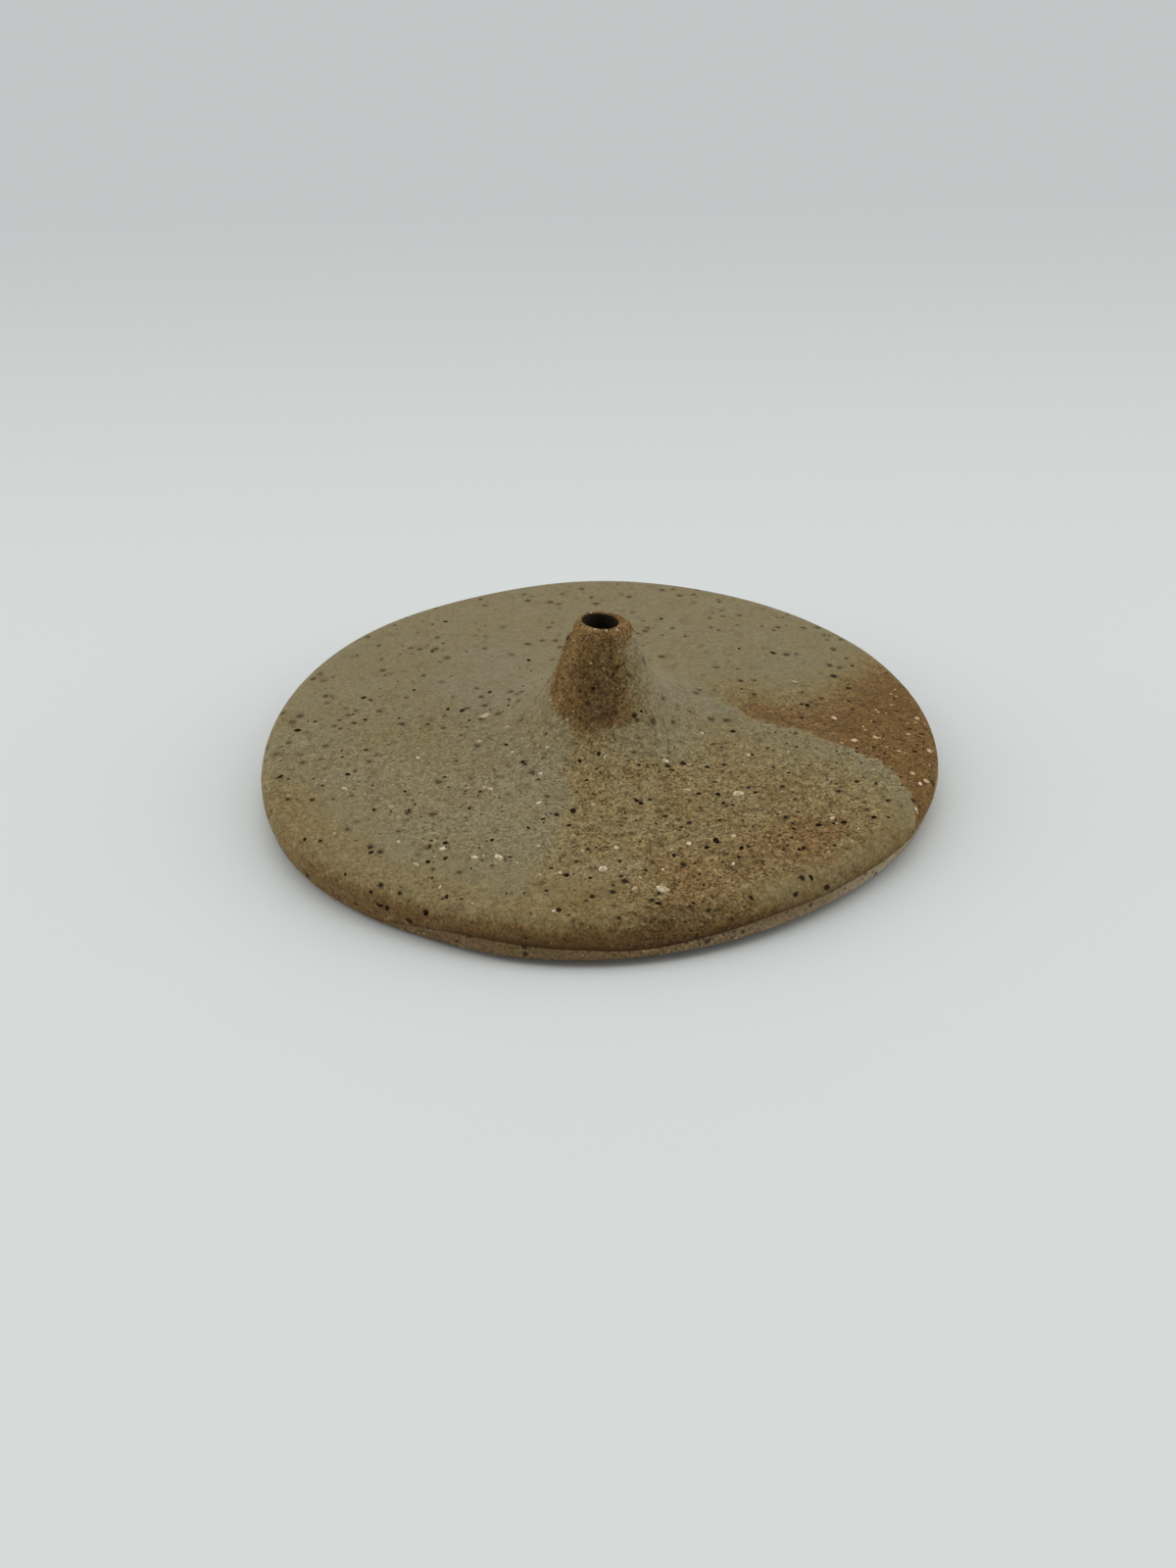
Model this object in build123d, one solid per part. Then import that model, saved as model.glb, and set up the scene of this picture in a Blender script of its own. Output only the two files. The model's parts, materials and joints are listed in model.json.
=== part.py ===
"""Stoneware incense stick holder: a low turned disc with a hollow spout in its middle.

The disc and the spout are separate clay pieces. The spout's foot sits in a round seat in the disc, bedded in
luting slip, and a coil of soft clay is blended round the joint into a smooth flare. Two pours of glaze lie on
the clay as thin skins. They meet along two seams and miss each other in two places, where bare clay shows:
a wedge that widens to the rim, and a patch on the side of the spout.

Frame: millimetres, +Z up, origin on the table under the spout. The front of the holder faces -Y.
"""

from build123d import *

import os
from math import cos, radians, sin, tan

# Disc
disc_diameter = 90.0  # over the glaze, at the widest place of the rim
edge_height = 6.6  # table to the top of the glazed rim
rim_radius = 2.8  # rounding of the glazed rim
bevel_angle = 20.0  # bare bevel under the rim, degrees from upright
top_slope = 3.0  # fall of the disc's top towards the rim, degrees

# Spout
spout_height = 22.3  # table to the lip
bore_diameter = 4.7  # stick hole
lip_wall = 0.9  # clay wall at the lip
lip_rounding = 0.6  # outer edge of the lip
mouth_rounding = 0.2  # inner edge of the lip
cone_angle = 20.0  # lean of the spout's side, degrees from upright
flare_radius = 11.5  # hollow curve from the spout's side into the disc's top

# Luted joint between the spout and the disc
spout_edge_angle = 45.0  # slope at which the spout's side gives way to the coil, degrees from upright
seat_depth = 1.6  # seat in the disc under the scored bed
hole_below_seat = 2.0  # blind end of the stick hole in the disc
slip_thickness = 0.4  # slip under and around the spout's foot
score_depth = 0.4  # scored bed of the coil

# Glaze
glaze_thickness = 0.4
lip_bare = 0.8  # bare clay below the lip, along the spout's side

# Edges of the two pours, seen from above, as (distance from the axis, degrees anticlockwise from +X)
wedge_tip = (17.0, 9.0)  # inner end of the bare wedge
wedge_front_middle = (30.6, -11.0)
wedge_front_rim_angle = -29.0
wedge_back_middle = (32.5, 6.0)
wedge_back_rim_angle = 17.0
seam_inner_end = (10.1, -121.0)  # seam of the two pours, at the foot of the spout
seam_rim_angle = -108.0
spout_patch_left = (7.6, -165.0)
spout_patch_right = (6.5, -85.0)

# Points and directions of the section, as (distance from the axis, height)
disc_radius = disc_diameter / 2
bore_radius = bore_diameter / 2
rim_centre = Vector(disc_radius - rim_radius, edge_height - rim_radius)


def direction(angle):
    """Unit vector of the section at an angle above the horizontal, in degrees."""
    return Vector(cos(radians(angle)), sin(radians(angle)))


cone_normal = direction(cone_angle)
top_normal = direction(90 - top_slope)
bevel_normal = direction(-bevel_angle)
down_the_cone = direction(cone_angle - 90)
clay_lip = Vector(bore_radius + lip_wall, spout_height)

# The lip's two roundings share its wall and always leave some of it flat
outer_rounding = min(lip_rounding, 0.7 * lip_wall)
inner_rounding = min(mouth_rounding, 0.2 * lip_wall)


def rim_point(normal, cover):
    """Point of the rounded rim whose outward normal is given, on the clay (cover 0) or on a skin over it."""
    return rim_centre + normal * (rim_radius - glaze_thickness + cover)


# The flare is the arc that leaves the spout's straight side and lies tangent on the disc's top
lip_rise = (clay_lip - rim_point(top_normal, 0)).dot(top_normal)
flare_rise = flare_radius * (1 - cone_normal.dot(top_normal))
straight_side = (flare_rise - lip_rise) / down_the_cone.dot(top_normal)
flare_top = clay_lip + down_the_cone * straight_side
flare_centre = flare_top + cone_normal * flare_radius


def flare_point(normal, cover):
    """Point of the flare whose outward normal is given, on the clay (cover 0) or on a skin over it."""
    return flare_centre - normal * (flare_radius - cover)


flare_foot = flare_point(top_normal, 0)
spout_edge = flare_point(direction(spout_edge_angle), 0)
spout_foot_radius = spout_edge.X
seat_radius = spout_foot_radius + slip_thickness


def bed_height(radius):
    """Height of the scored bed, which lies under the line of the disc's top."""
    return flare_foot.Y + (flare_foot.X - radius) * tan(radians(top_slope)) - score_depth


seat_floor = bed_height(seat_radius) - seat_depth
spout_foot = seat_floor + slip_thickness
hole_floor = seat_floor - hole_below_seat


def rim_arc(first_normal, last_normal, cover):
    """Arc of the rim between two outward normals."""
    middle = (first_normal + last_normal).normalized()
    return ThreePointArc(rim_point(first_normal, cover), rim_point(middle, cover), rim_point(last_normal, cover))


def flare_arc(first_normal, last_normal, cover):
    """Arc of the flare between two outward normals."""
    middle = (first_normal + last_normal).normalized()
    return ThreePointArc(
        flare_point(first_normal, cover), flare_point(middle, cover), flare_point(last_normal, cover)
    )


def section_face(*edges):
    """Closed flat face of the section, on the XZ plane, from edges in order."""
    return make_face(Plane.XZ * (Curve() + list(edges)))


def turned(face):
    """Solid of revolution of a section about the holder's axis."""
    return revolve(face, axis=Axis.Z)


def make_base_disc():
    """Disc with its bevel, rounded rim, scored bed, seat and the blind end of the stick hole."""
    glaze_line = rim_point(bevel_normal, 0)
    foot_radius = glaze_line.X - glaze_line.Y * tan(radians(bevel_angle))
    outline = Polyline(
        flare_foot,
        (flare_foot.X, bed_height(flare_foot.X)),
        (seat_radius, bed_height(seat_radius)),
        (seat_radius, seat_floor),
        (bore_radius, seat_floor),
        (bore_radius, hole_floor),
        (0, hole_floor),
        (0, 0),
        (foot_radius, 0),
        glaze_line,
    )
    rim = rim_arc(bevel_normal, top_normal, 0)
    top = Line(rim_point(top_normal, 0), flare_foot)
    return turned(section_face(outline, rim, top))


def make_spout():
    """Hollow spout with a rounded lip and the upper part of the flare, down to its foot in the seat."""
    cone = Line(clay_lip, flare_top)
    flare = flare_arc(cone_normal, direction(spout_edge_angle), 0)
    outline = Polyline(
        spout_edge,
        (spout_foot_radius, spout_foot),
        (bore_radius, spout_foot),
        (bore_radius, spout_height),
        clay_lip,
    )
    face = section_face(cone, flare, outline)
    outer_corner = face.vertices().group_by(Axis.Z)[-1].sort_by(Axis.X)[-1]
    face = fillet(outer_corner, outer_rounding)
    inner_corner = face.vertices().group_by(Axis.Z)[-1].sort_by(Axis.X)[0]
    return turned(fillet(inner_corner, inner_rounding))


def make_luting_slip():
    """Thin cup of slip between the spout's foot and the seat."""
    outline = Polyline(
        (bore_radius, seat_floor),
        (seat_radius, seat_floor),
        (seat_radius, bed_height(seat_radius)),
        (spout_foot_radius, bed_height(spout_foot_radius)),
        (spout_foot_radius, spout_foot),
        (bore_radius, spout_foot),
        close=True,
    )
    return turned(section_face(outline))


def make_joint_coil():
    """Ring of clay that carries the flare from the spout's side out to the disc's top."""
    flare = flare_arc(direction(spout_edge_angle), top_normal, 0)
    outline = Polyline(
        flare_foot,
        (flare_foot.X, bed_height(flare_foot.X)),
        (spout_foot_radius, bed_height(spout_foot_radius)),
        spout_edge,
    )
    return turned(section_face(flare, outline))


def make_glaze_skin():
    """Skin of even thickness over the rim, the disc's top, the flare and the spout, up to the bare lip."""
    inner_end = clay_lip + down_the_cone * lip_bare
    outer_end = inner_end + cone_normal * glaze_thickness
    skin = []
    for cover, end in ((0, inner_end), (glaze_thickness, outer_end)):
        skin += [
            rim_arc(bevel_normal, top_normal, cover),
            Line(rim_point(top_normal, cover), flare_point(top_normal, cover)),
            flare_arc(top_normal, cone_normal, cover),
            Line(flare_point(cone_normal, cover), end),
        ]
    glaze_line = Line(rim_point(bevel_normal, 0), rim_point(bevel_normal, glaze_thickness))
    return turned(section_face(*skin, glaze_line, Line(inner_end, outer_end)))


def from_above(point):
    """Point of the plan at (distance from the axis, degrees anticlockwise from +X)."""
    distance, angle = point
    return direction(angle) * distance


def make_glaze_pour(skin, wedge_middle, wedge_rim_angle, spout_patch_corner, seam_angle):
    """The part of the skin inside one pour's outline, which runs round well outside the rim.

    The outline leaves the axis through the wedge's tip, follows one edge of the wedge to the rim, turns round
    outside the rim to the seam, and comes back along the seam and one edge of the bare patch on the spout.
    """
    well_outside = disc_diameter
    tip = from_above(wedge_tip)
    wedge_end = from_above((disc_radius, wedge_rim_angle))
    turn_start = from_above((well_outside, wedge_rim_angle))
    turn_middle = from_above((well_outside, (wedge_rim_angle + seam_angle) / 2))
    turn_end = from_above((well_outside, seam_angle))
    outline = [
        Line((0, 0), tip),
        ThreePointArc(tip, from_above(wedge_middle), wedge_end),
        Line(wedge_end, turn_start),
        ThreePointArc(turn_start, turn_middle, turn_end),
        Polyline(turn_end, from_above(seam_inner_end), from_above(spout_patch_corner), (0, 0)),
    ]
    return skin & extrude(make_face(Curve() + outline), spout_height)


glaze_skin = make_glaze_skin()
pieces = {
    "base_disc": make_base_disc(),
    "spout": make_spout(),
    "luting_slip": make_luting_slip(),
    "joint_coil": make_joint_coil(),
    "front_glaze_pour": make_glaze_pour(
        glaze_skin, wedge_front_middle, wedge_front_rim_angle, spout_patch_right, seam_rim_angle
    ),
    "back_glaze_pour": make_glaze_pour(
        glaze_skin, wedge_back_middle, wedge_back_rim_angle, spout_patch_left, seam_rim_angle + 360
    ),
}

os.makedirs("parts", exist_ok=True)
for name, piece in pieces.items():
    export_step(piece, f"parts/{name}.step")
    print(name, "volume", round(piece.volume, 2), "mm3")
print("straight side", round(straight_side, 2), "mm, seat floor", round(seat_floor, 3), "mm")
print("stick hole from", round(hole_floor, 3), "to", round(spout_height - inner_rounding, 3), "mm")
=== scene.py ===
"""Stoneware incense stick holder: finishes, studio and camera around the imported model.

The clay disc, the spout and the coil round their joint are turned from sections. Two pours of glaze are
sheets laid over the clay, and grains of grit and iron sit in the surface. One hand-work step bends all of
them alike, so that they stay seated on each other. Lengths are in millimetres and angles in degrees,
unless a name says otherwise, and meshes are in metres. A turn is measured anticlockwise from +X, and a
distance from the axis. A pair that is named for a change, such as a rise, a fall or a fade, says where it
starts and stops.
"""

import json
import logging
import math
import random
from abc import ABC, abstractmethod
from collections.abc import Callable
from dataclasses import dataclass
from enum import Enum

import bpy
import numpy as np
from mathutils import Matrix, Vector


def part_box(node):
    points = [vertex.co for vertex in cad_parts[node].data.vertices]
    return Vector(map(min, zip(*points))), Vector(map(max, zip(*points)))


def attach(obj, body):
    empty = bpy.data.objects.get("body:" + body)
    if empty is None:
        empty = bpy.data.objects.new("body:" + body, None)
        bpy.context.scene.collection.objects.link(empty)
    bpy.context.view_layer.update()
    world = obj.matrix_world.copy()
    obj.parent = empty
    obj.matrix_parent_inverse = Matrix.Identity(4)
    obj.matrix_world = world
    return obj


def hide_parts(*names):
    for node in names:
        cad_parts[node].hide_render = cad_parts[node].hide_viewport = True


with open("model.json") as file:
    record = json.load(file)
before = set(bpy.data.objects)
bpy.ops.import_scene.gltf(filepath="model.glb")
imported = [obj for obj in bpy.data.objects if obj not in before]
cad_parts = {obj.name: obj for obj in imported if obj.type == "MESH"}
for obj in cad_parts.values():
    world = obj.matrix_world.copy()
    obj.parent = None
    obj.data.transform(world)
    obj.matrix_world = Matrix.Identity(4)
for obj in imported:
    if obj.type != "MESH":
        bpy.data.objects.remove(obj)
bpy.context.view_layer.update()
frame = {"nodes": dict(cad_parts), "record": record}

MM = 0.001  # metres in a millimetre
BODY = "root"
log = logging.getLogger("incense_holder")

# Sizes of the grain and of the scattered marks, the same on clay and glaze so that they run on past an edge
GRAIN_SIZE = 0.3
FLECKS = {"Spacing": 0.7, "Share": 0.4, "Size": 0.28, "Ragged": 0.2}
SPECKS = {"Spacing": 1.5, "Share": 0.45, "Size": 0.55, "Ragged": 0.4}
PALE_FLECKS = {"Spacing": 0.8, "Share": 0.35, "Size": 0.25, "Ragged": 0.2}
CLOUD_SIZE = 7.0  # of the soft clouds in the glaze

Point = tuple[float, float]  # a point of a line, or a pair such as the two ends of a change
Place = tuple[float, float, float]  # x, y and width of a grain
Wave = tuple[float, float, float]  # size, pace and start in radians
Shade = tuple[int, int, int]  # red, green and blue as seen on a screen, 0 to 255
Colour = tuple[float, float, float, float]  # linear red, green and blue, and opacity
Array = np.ndarray
Piece = bpy.types.Object
Material = bpy.types.Material
Tree = bpy.types.NodeTree
Node = bpy.types.Node
Outputs = bpy.types.bpy_prop_collection
Socket = bpy.types.NodeSocket
Value = float | Socket
Tint = Colour | Socket


def linear_colour(red: int, green: int, blue: int) -> Colour:
    """Turns a colour as seen on a screen into the linear colour that a shader takes.

    Args:
        red: Red as seen, 0 to 255.
        green: Green as seen, 0 to 255.
        blue: Blue as seen, 0 to 255.

    Returns:
        The linear colour, opaque.
    """
    shares = [value / 255 for value in (red, green, blue)]
    linear = [s / 12.92 if s <= 0.04045 else ((s + 0.055) / 1.055) ** 2.4 for s in shares]
    return (linear[0], linear[1], linear[2], 1.0)


def ease(values: Array, low: float | Array, high: float | Array) -> Array:
    """Rises smoothly from 0, where a value is low, to 1, where it is high."""
    share = np.clip((values - low) / (high - low), 0.0, 1.0)
    return share * share * (3.0 - 2.0 * share)


def along(table: tuple[Point, ...], values: Array) -> Array:
    """Reads a line that is given by a few points, in rising order of their first number."""
    return np.interp(values, [point[0] for point in table], [point[1] for point in table])


def arc_points(centre: Point, radius: float, start: float, end: float, count: int) -> list[Point]:
    """Points of an arc of the section between two angles above the horizontal, both ends included."""
    angles = np.radians(np.linspace(start, end, count + 1))
    return [(centre[0] + radius * math.cos(a), centre[1] + radius * math.sin(a)) for a in angles]


def line_points(start: Point, end: Point, count: int) -> list[Point]:
    """Points of a straight run of the section, both ends included."""
    return [tuple(point) for point in np.linspace(start, end, count + 1)]


def hump(values: Array, middle: float | Array, width: float | Array) -> Array:
    """Rises to 1 at a middle value and is down to about a third one width to either side."""
    return np.exp(-(((values - middle) / width) ** 2))


def plateau(values: Array, rise: Point, fall: Point) -> Array:
    """Rises from 0 to 1 over one stretch of values and falls back to 0 over a later one."""
    return ease(values, *rise) * (1 - ease(values, *fall))


def waves(table: tuple[Wave, ...], values: Array) -> Array:
    """Adds up waves that are given by their size, pace and start."""
    return sum(size * np.sin(pace * values + start) for size, pace, start in table)


@dataclass(frozen=True)
class Spots:
    """Places on the true-turned clay: across the holder, from front to back, and up."""

    x: Array
    y: Array
    z: Array

    @property
    def radius(self) -> Array:
        """Distance of each place from the axis."""
        return np.hypot(self.x, self.y)

    @property
    def turn(self) -> Array:
        """Turn of each place, from -180 to 180."""
        return np.degrees(np.arctan2(self.y, self.x))

    @property
    def full_turn(self) -> Array:
        """Turn of each place, from 0 to 360."""
        return self.turn % 360


@dataclass(frozen=True)
class ClaySection:
    """Half section of the turned clay, as (distance from the axis, height)."""

    rim_radius: float
    lip_height: float
    spout_foot: float
    spout_edge_radius: float
    coil_radius: float
    seat_radius: float
    seat_floor: float
    bore_radius: float
    rim_rounding: float = 2.4
    rim_centre_height: float = 3.8
    bevel_angle: float = 20.0
    top_slope: float = 3.0
    foot_easing: float = 0.45
    lip_wall: float = 0.9
    lip_rounding: float = 0.8
    mouth_rounding: float = 0.18
    cone_angle: float = 20.0
    flare_radius: float = 11.5
    score_depth: float = 0.4
    hole_below_seat: float = 2.0

    @classmethod
    def from_frame(cls) -> "ClaySection":
        """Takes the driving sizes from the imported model's nodes and its stick bore.

        Returns:
            The section.
        """
        mounts = {mount["name"]: mount for mount in frame["record"]["mounts"]}
        slip_low, slip_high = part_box("luting_slip")
        spout_low, spout_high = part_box("spout")
        return cls(
            rim_radius=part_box("base_disc")[1].y / MM,
            lip_height=spout_high.z / MM,
            spout_foot=spout_low.z / MM,
            spout_edge_radius=spout_high.y / MM,
            coil_radius=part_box("joint_coil")[1].y / MM,
            seat_radius=slip_high.y / MM,
            seat_floor=slip_low.z / MM,
            bore_radius=mounts["stick_bore"]["dims"]["r_mm"],
        )

    @property
    def rim_centre(self) -> Point:
        """Centre of the rim's rounding."""
        return (self.rim_radius - self.rim_rounding, self.rim_centre_height)

    @property
    def glaze_line(self) -> Point:
        """Point where the rim's rounding meets the bare bevel."""
        return self.rim(count=1)[0]

    @property
    def foot_radius(self) -> float:
        """Radius of the flat underside."""
        radius, height = self.glaze_line
        return radius - height * math.tan(math.radians(self.bevel_angle))

    @property
    def lip_corner(self) -> Point:
        """Outer corner of the lip before it is rounded."""
        return (self.bore_radius + self.lip_wall, self.lip_height)

    @property
    def straight_side(self) -> float:
        """Length of the spout's straight side, from the lip's corner to the flare.

        Returns:
            The length at which the flare just meets the disc's top.
        """
        slope, cone = math.radians(self.top_slope), math.radians(self.cone_angle)
        rim_top = self.rim(count=1)[1]
        across, up = self.lip_corner[0] - rim_top[0], self.lip_corner[1] - rim_top[1]
        lip_rise = across * math.sin(slope) + up * math.cos(slope)
        flare_rise = self.flare_radius * (1 - math.cos(math.pi / 2 - slope - cone))
        return (lip_rise - flare_rise) / math.cos(slope + cone)

    @property
    def flare_top(self) -> Point:
        """Point where the spout's straight side turns into the flare."""
        (radius, height), cone = self.lip_corner, math.radians(self.cone_angle)
        return (radius + self.straight_side * math.sin(cone), height - self.straight_side * math.cos(cone))

    @property
    def flare_centre(self) -> Point:
        """Centre of the flare's hollow curve."""
        (radius, height), cone = self.flare_top, math.radians(self.cone_angle)
        return (radius + self.flare_radius * math.cos(cone), height + self.flare_radius * math.sin(cone))

    @property
    def spout_edge_angle(self) -> float:
        """Direction from the flare's centre to the seam of spout and coil."""
        across = (self.spout_edge_radius - self.flare_centre[0]) / self.flare_radius
        return 360 - math.degrees(math.acos(across))

    @property
    def flare_ends(self) -> Point:
        """Directions from the flare's centre to its top on the spout and to its foot on the disc."""
        return (180 + self.cone_angle, 270 - self.top_slope)

    def bed_height(self, radius: float) -> float:
        """Height of the scored bed under the coil.

        Args:
            radius: Distance from the axis.

        Returns:
            The height there.
        """
        end_radius, end_height = self.flare(*self.flare_ends, count=1)[1]
        rise = (end_radius - radius) * math.tan(math.radians(self.top_slope))
        return end_height + rise - self.score_depth

    def flare(self, start: float, end: float, count: int) -> list[Point]:
        """Points of the flare between two directions from its centre."""
        return arc_points(self.flare_centre, self.flare_radius, start, end, count)

    def rim(self, count: int) -> list[Point]:
        """Points of the rim's rounding, from the glaze line to the disc's top."""
        return arc_points(self.rim_centre, self.rim_rounding, -self.bevel_angle, 90 - self.top_slope, count)

    def skin(self) -> "Skin":
        """Outer line of the clay, from the foot's edge to the lip's corner.

        Returns:
            The line, closely stepped.
        """
        bevel = line_points((self.foot_radius, 0.0), self.glaze_line, count=20)
        rim = self.rim(count=80)
        flare_top, flare_foot = self.flare_ends
        flare = self.flare(flare_foot, flare_top, count=160)
        top = line_points(rim[-1], flare[0], count=100)
        cone = line_points(self.flare_top, self.lip_corner, count=40)
        chain = np.array(bevel + rim[1:] + top[1:] + flare[1:] + cone[1:])
        steps = np.hypot(*np.diff(chain, axis=0).T)
        lengths = np.concatenate([[0.0], np.cumsum(steps)])
        return Skin(chain[:, 0], chain[:, 1], lengths - lengths[len(bevel) - 1])


@dataclass(frozen=True)
class Skin:
    """Outer line of the clay, read by the length along it. Length 0 is the glaze line at the rim."""

    radii: Array
    heights: Array
    lengths: Array
    feel: float = 0.2  # length to either side over which the line's direction is taken

    @property
    def end(self) -> float:
        """Length along the line at the lip's corner."""
        return float(self.lengths[-1])

    def point(self, length: float | Array) -> tuple[Array, Array]:
        """Distance from the axis and height at a length along the line."""
        return np.interp(length, self.lengths, self.radii), np.interp(length, self.lengths, self.heights)

    def length_at(self, radius: float | Array) -> Array:
        """Length along the line where the top, the flare or the spout has a distance from the axis."""
        first = int(np.argmax(self.radii))
        return np.interp(radius, self.radii[first:][::-1], self.lengths[first:][::-1])

    def normal(self, length: float) -> tuple[float, float]:
        """Outward normal of the section.

        Args:
            length: Length along the line.

        Returns:
            How far it points outwards and upwards.
        """
        (r0, r1), (z0, z1) = self.point(np.array([length - self.feel, length + self.feel]))
        size = math.hypot(r1 - r0, z1 - z0)
        return ((z1 - z0) / size, (r0 - r1) / size)


@dataclass(frozen=True)
class RimStretch:
    """Stretch of the disc, out near its rim, where the hand smoothed the grain."""

    outwards: Point  # distances between which it sets in
    rise: Point  # by the turn
    fall: Point  # by the turn
    smoothing: float  # share of the grain that is gone

    def grain_left(self, spots: Spots) -> Array:
        """Share of the grain that is left at each place."""
        stretch = ease(spots.radius, *self.outwards) * plateau(spots.turn, self.rise, self.fall)
        return 1 - self.smoothing * stretch


@dataclass(frozen=True)
class HandWork:
    """Unevenness that the hand leaves, the same for every piece.

    The resting face stays flat but for its front edge.
    """

    disc_shift: Point = (-1.17, 0.18)  # the disc's middle, from the spout's axis
    growth: float = 0.10  # clay that the even rim of the solids doesn't have
    lobes: tuple[tuple[int, float, float], ...] = (  # waves round the outline: cosine and sine
        (2, 0.04, 0.045), (3, 0.31, -0.37), (4, 0.13, -0.08),
        (5, 0.175, -0.075), (6, -0.22, 0.015), (9, -0.05, 0.03),
    )
    still_radius: float = 10.0  # the spout inside this stays round
    full_radius: float = 30.0
    bore_shift: float = -0.41  # the mouth, sideways in the lip
    bore_still: float = 6.0  # height under which the bore stays on the axis
    bore_skin: float = 0.05  # clay round the bore that moves as far as the bore
    belly_shift: float = -0.25  # the spout's middle, sideways
    belly_rise: Point = (8.0, 14.0)  # by height
    belly_fall: float = 17.0  # height from which it goes back, to none at the lip
    lip_tilt: float = 6.5  # the lip's right side is low
    tilt_start: float = 13.0
    lip_back: float = 2.5  # the lip's front is high
    lip_rise: float = 0.1
    foot_start: float = 35.0  # the underside inside this lies flat
    foot_height: float = 0.3  # the foot's edge moves in full up to this height
    foot_out: tuple[Point, ...] = (  # clay pushed out at the foot, by the turn
        (-180.0, 0.1), (-135.0, 0.1), (-118.0, 0.3), (-105.0, 0.9), (-60.0, 1.1), (-40.0, 0.8), (-25.0, 0.3),
        (-10.0, 0.0), (180.0, 0.1),
    )
    foot_lift: tuple[Point, ...] = (  # gap under the foot's edge, by the turn
        (-125.0, 0.0), (-108.0, 0.5), (-95.0, 0.8), (-60.0, 1.0),
        (-40.0, 0.9), (-25.0, 0.6), (-12.0, 0.2), (0.0, 0.0),
    )
    top_swell: float = 0.12  # rise and fall of the disc's top
    swell_length: float = 8.0
    swell_start: Point = (1.3, -0.4)  # start of the swell across and from front to back, in radians
    front_sandiness: float = 1.26
    sand_loss: float = 0.70  # how much less sandy the back is
    sand_fade: Point = (-16.0, 18.0)  # by the place from front to back
    smoothed: tuple[RimStretch, ...] = (
        RimStretch((33.0, 37.0), (-175.0, -150.0), (-92.0, -80.0), 0.4),  # the front left
        RimStretch((41.0, 43.0), (-75.0, -60.0), (-30.0, -15.0), 0.5),  # the rolled edge at the front right
    )
    spout_sandiness: float = 1.25
    coil_sandiness: float = 1.2
    front_shade_share: float = 0.22  # painted shade on the spout's front
    flare_shade: float = 0.14  # what the flare has on top of that
    front_shade_rise: Point = (6.3, 7.6)  # by the distance
    front_shade_end: Point = (8.2, 10.0)  # by the distance
    front_shade_turn: Point = (-95.0, 32.0)  # its middle and width round the spout

    def sandiness(self, spots: Spots) -> Array:
        """How strongly the grain shows: most at the front, but less where the hand smoothed the rim.

        Args:
            spots: Places on the clay.

        Returns:
            Share of the full grain at each place.
        """
        share = self.front_sandiness - self.sand_loss * ease(spots.y, *self.sand_fade)
        for stretch in self.smoothed:
            share = share * stretch.grain_left(spots)
        return share

    def front_shade(self, spots: Spots) -> Array:
        """Share of painted shade on the spout's front, stronger low down where it flares out to the disc."""
        share = self.front_shade_share + self.flare_shade * ease(spots.radius, *self.front_shade_rise)
        return share * (1 - ease(spots.radius, *self.front_shade_end)) * hump(spots.turn, *self.front_shade_turn)

    def turned_place(self, x: float, y: float) -> Point:
        """Place on the true-turned disc of a spot that is seen at a place on the finished one."""
        reach = float(ease(np.array(math.hypot(x, y)), self.still_radius, self.full_radius))
        return (x - reach * self.disc_shift[0], y - reach * self.disc_shift[1])

    def shape(self, spots: Spots, section: ClaySection) -> Array:
        """Moves places as the hand did.

        Args:
            spots: Places on the clay.
            section: Section of the clay.

        Returns:
            Rows of the moved x, y and z.
        """
        x, y, z = spots.x, spots.y, spots.z
        radius, turn = spots.radius, spots.turn
        angle = np.arctan2(y, x)
        reach = ease(radius, self.still_radius, self.full_radius)
        wave = np.full_like(radius, self.growth)
        for count, cosine, sine in self.lobes:
            wave = wave + cosine * np.cos(count * angle) + sine * np.sin(count * angle)
        grow = 1 + reach * wave / section.rim_radius
        lip = section.lip_height
        belly = plateau(z, self.belly_rise, (self.belly_fall, lip)) * self.belly_shift
        inside = 1 - ease(radius, section.bore_radius + self.bore_skin, section.lip_corner[0])
        mouth = ease(z, self.bore_still, lip) * inside * self.bore_shift
        sideways, backwards = (math.tan(math.radians(a)) for a in (self.lip_tilt, self.lip_back))
        tilt = ease(z, self.tilt_start, lip) * (self.lip_rise - sideways * x - backwards * y)
        bevel_top = section.glaze_line[1]
        low = (1 - ease(z, self.foot_height, bevel_top)) * ease(radius, self.foot_start, section.foot_radius)
        out = low * along(self.foot_out, turn)
        start_x, start_y = self.swell_start
        swell = np.sin(x / self.swell_length + start_x) * np.cos(y / self.swell_length + start_y)
        above_bevel = ease(z, bevel_top, section.rim_centre_height + section.rim_rounding)
        return np.column_stack(
            [
                x * grow + out * np.cos(angle) + reach * self.disc_shift[0] + belly + mouth,
                y * grow + out * np.sin(angle) + reach * self.disc_shift[1],
                z + tilt + low * along(self.foot_lift, turn) + self.top_swell * swell * above_bevel * reach,
            ]
        )


@dataclass(frozen=True)
class Oval:
    """Oval place of the disc, seen from above, where a value rises or falls."""

    centre: Point
    half_size: Point
    turn: float
    change: float
    steepness: float = 1.5  # how sharply the change ends at the oval's edge

    def at(self, spots: Spots) -> Array:
        """Change at each place, fading out past the oval's edge.

        Args:
            spots: Places on the clay.

        Returns:
            The change at each place.
        """
        c, s = math.cos(math.radians(self.turn)), math.sin(math.radians(self.turn))
        dx, dy = spots.x - self.centre[0], spots.y - self.centre[1]
        u = (dx * c + dy * s) / self.half_size[0]
        v = (dy * c - dx * s) / self.half_size[1]
        return self.change * np.exp(-((u * u + v * v) ** self.steepness))


class Pour(Enum):
    """The two pours of glaze."""

    FRONT = "front_glaze_pour"
    BACK = "back_glaze_pour"


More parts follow.
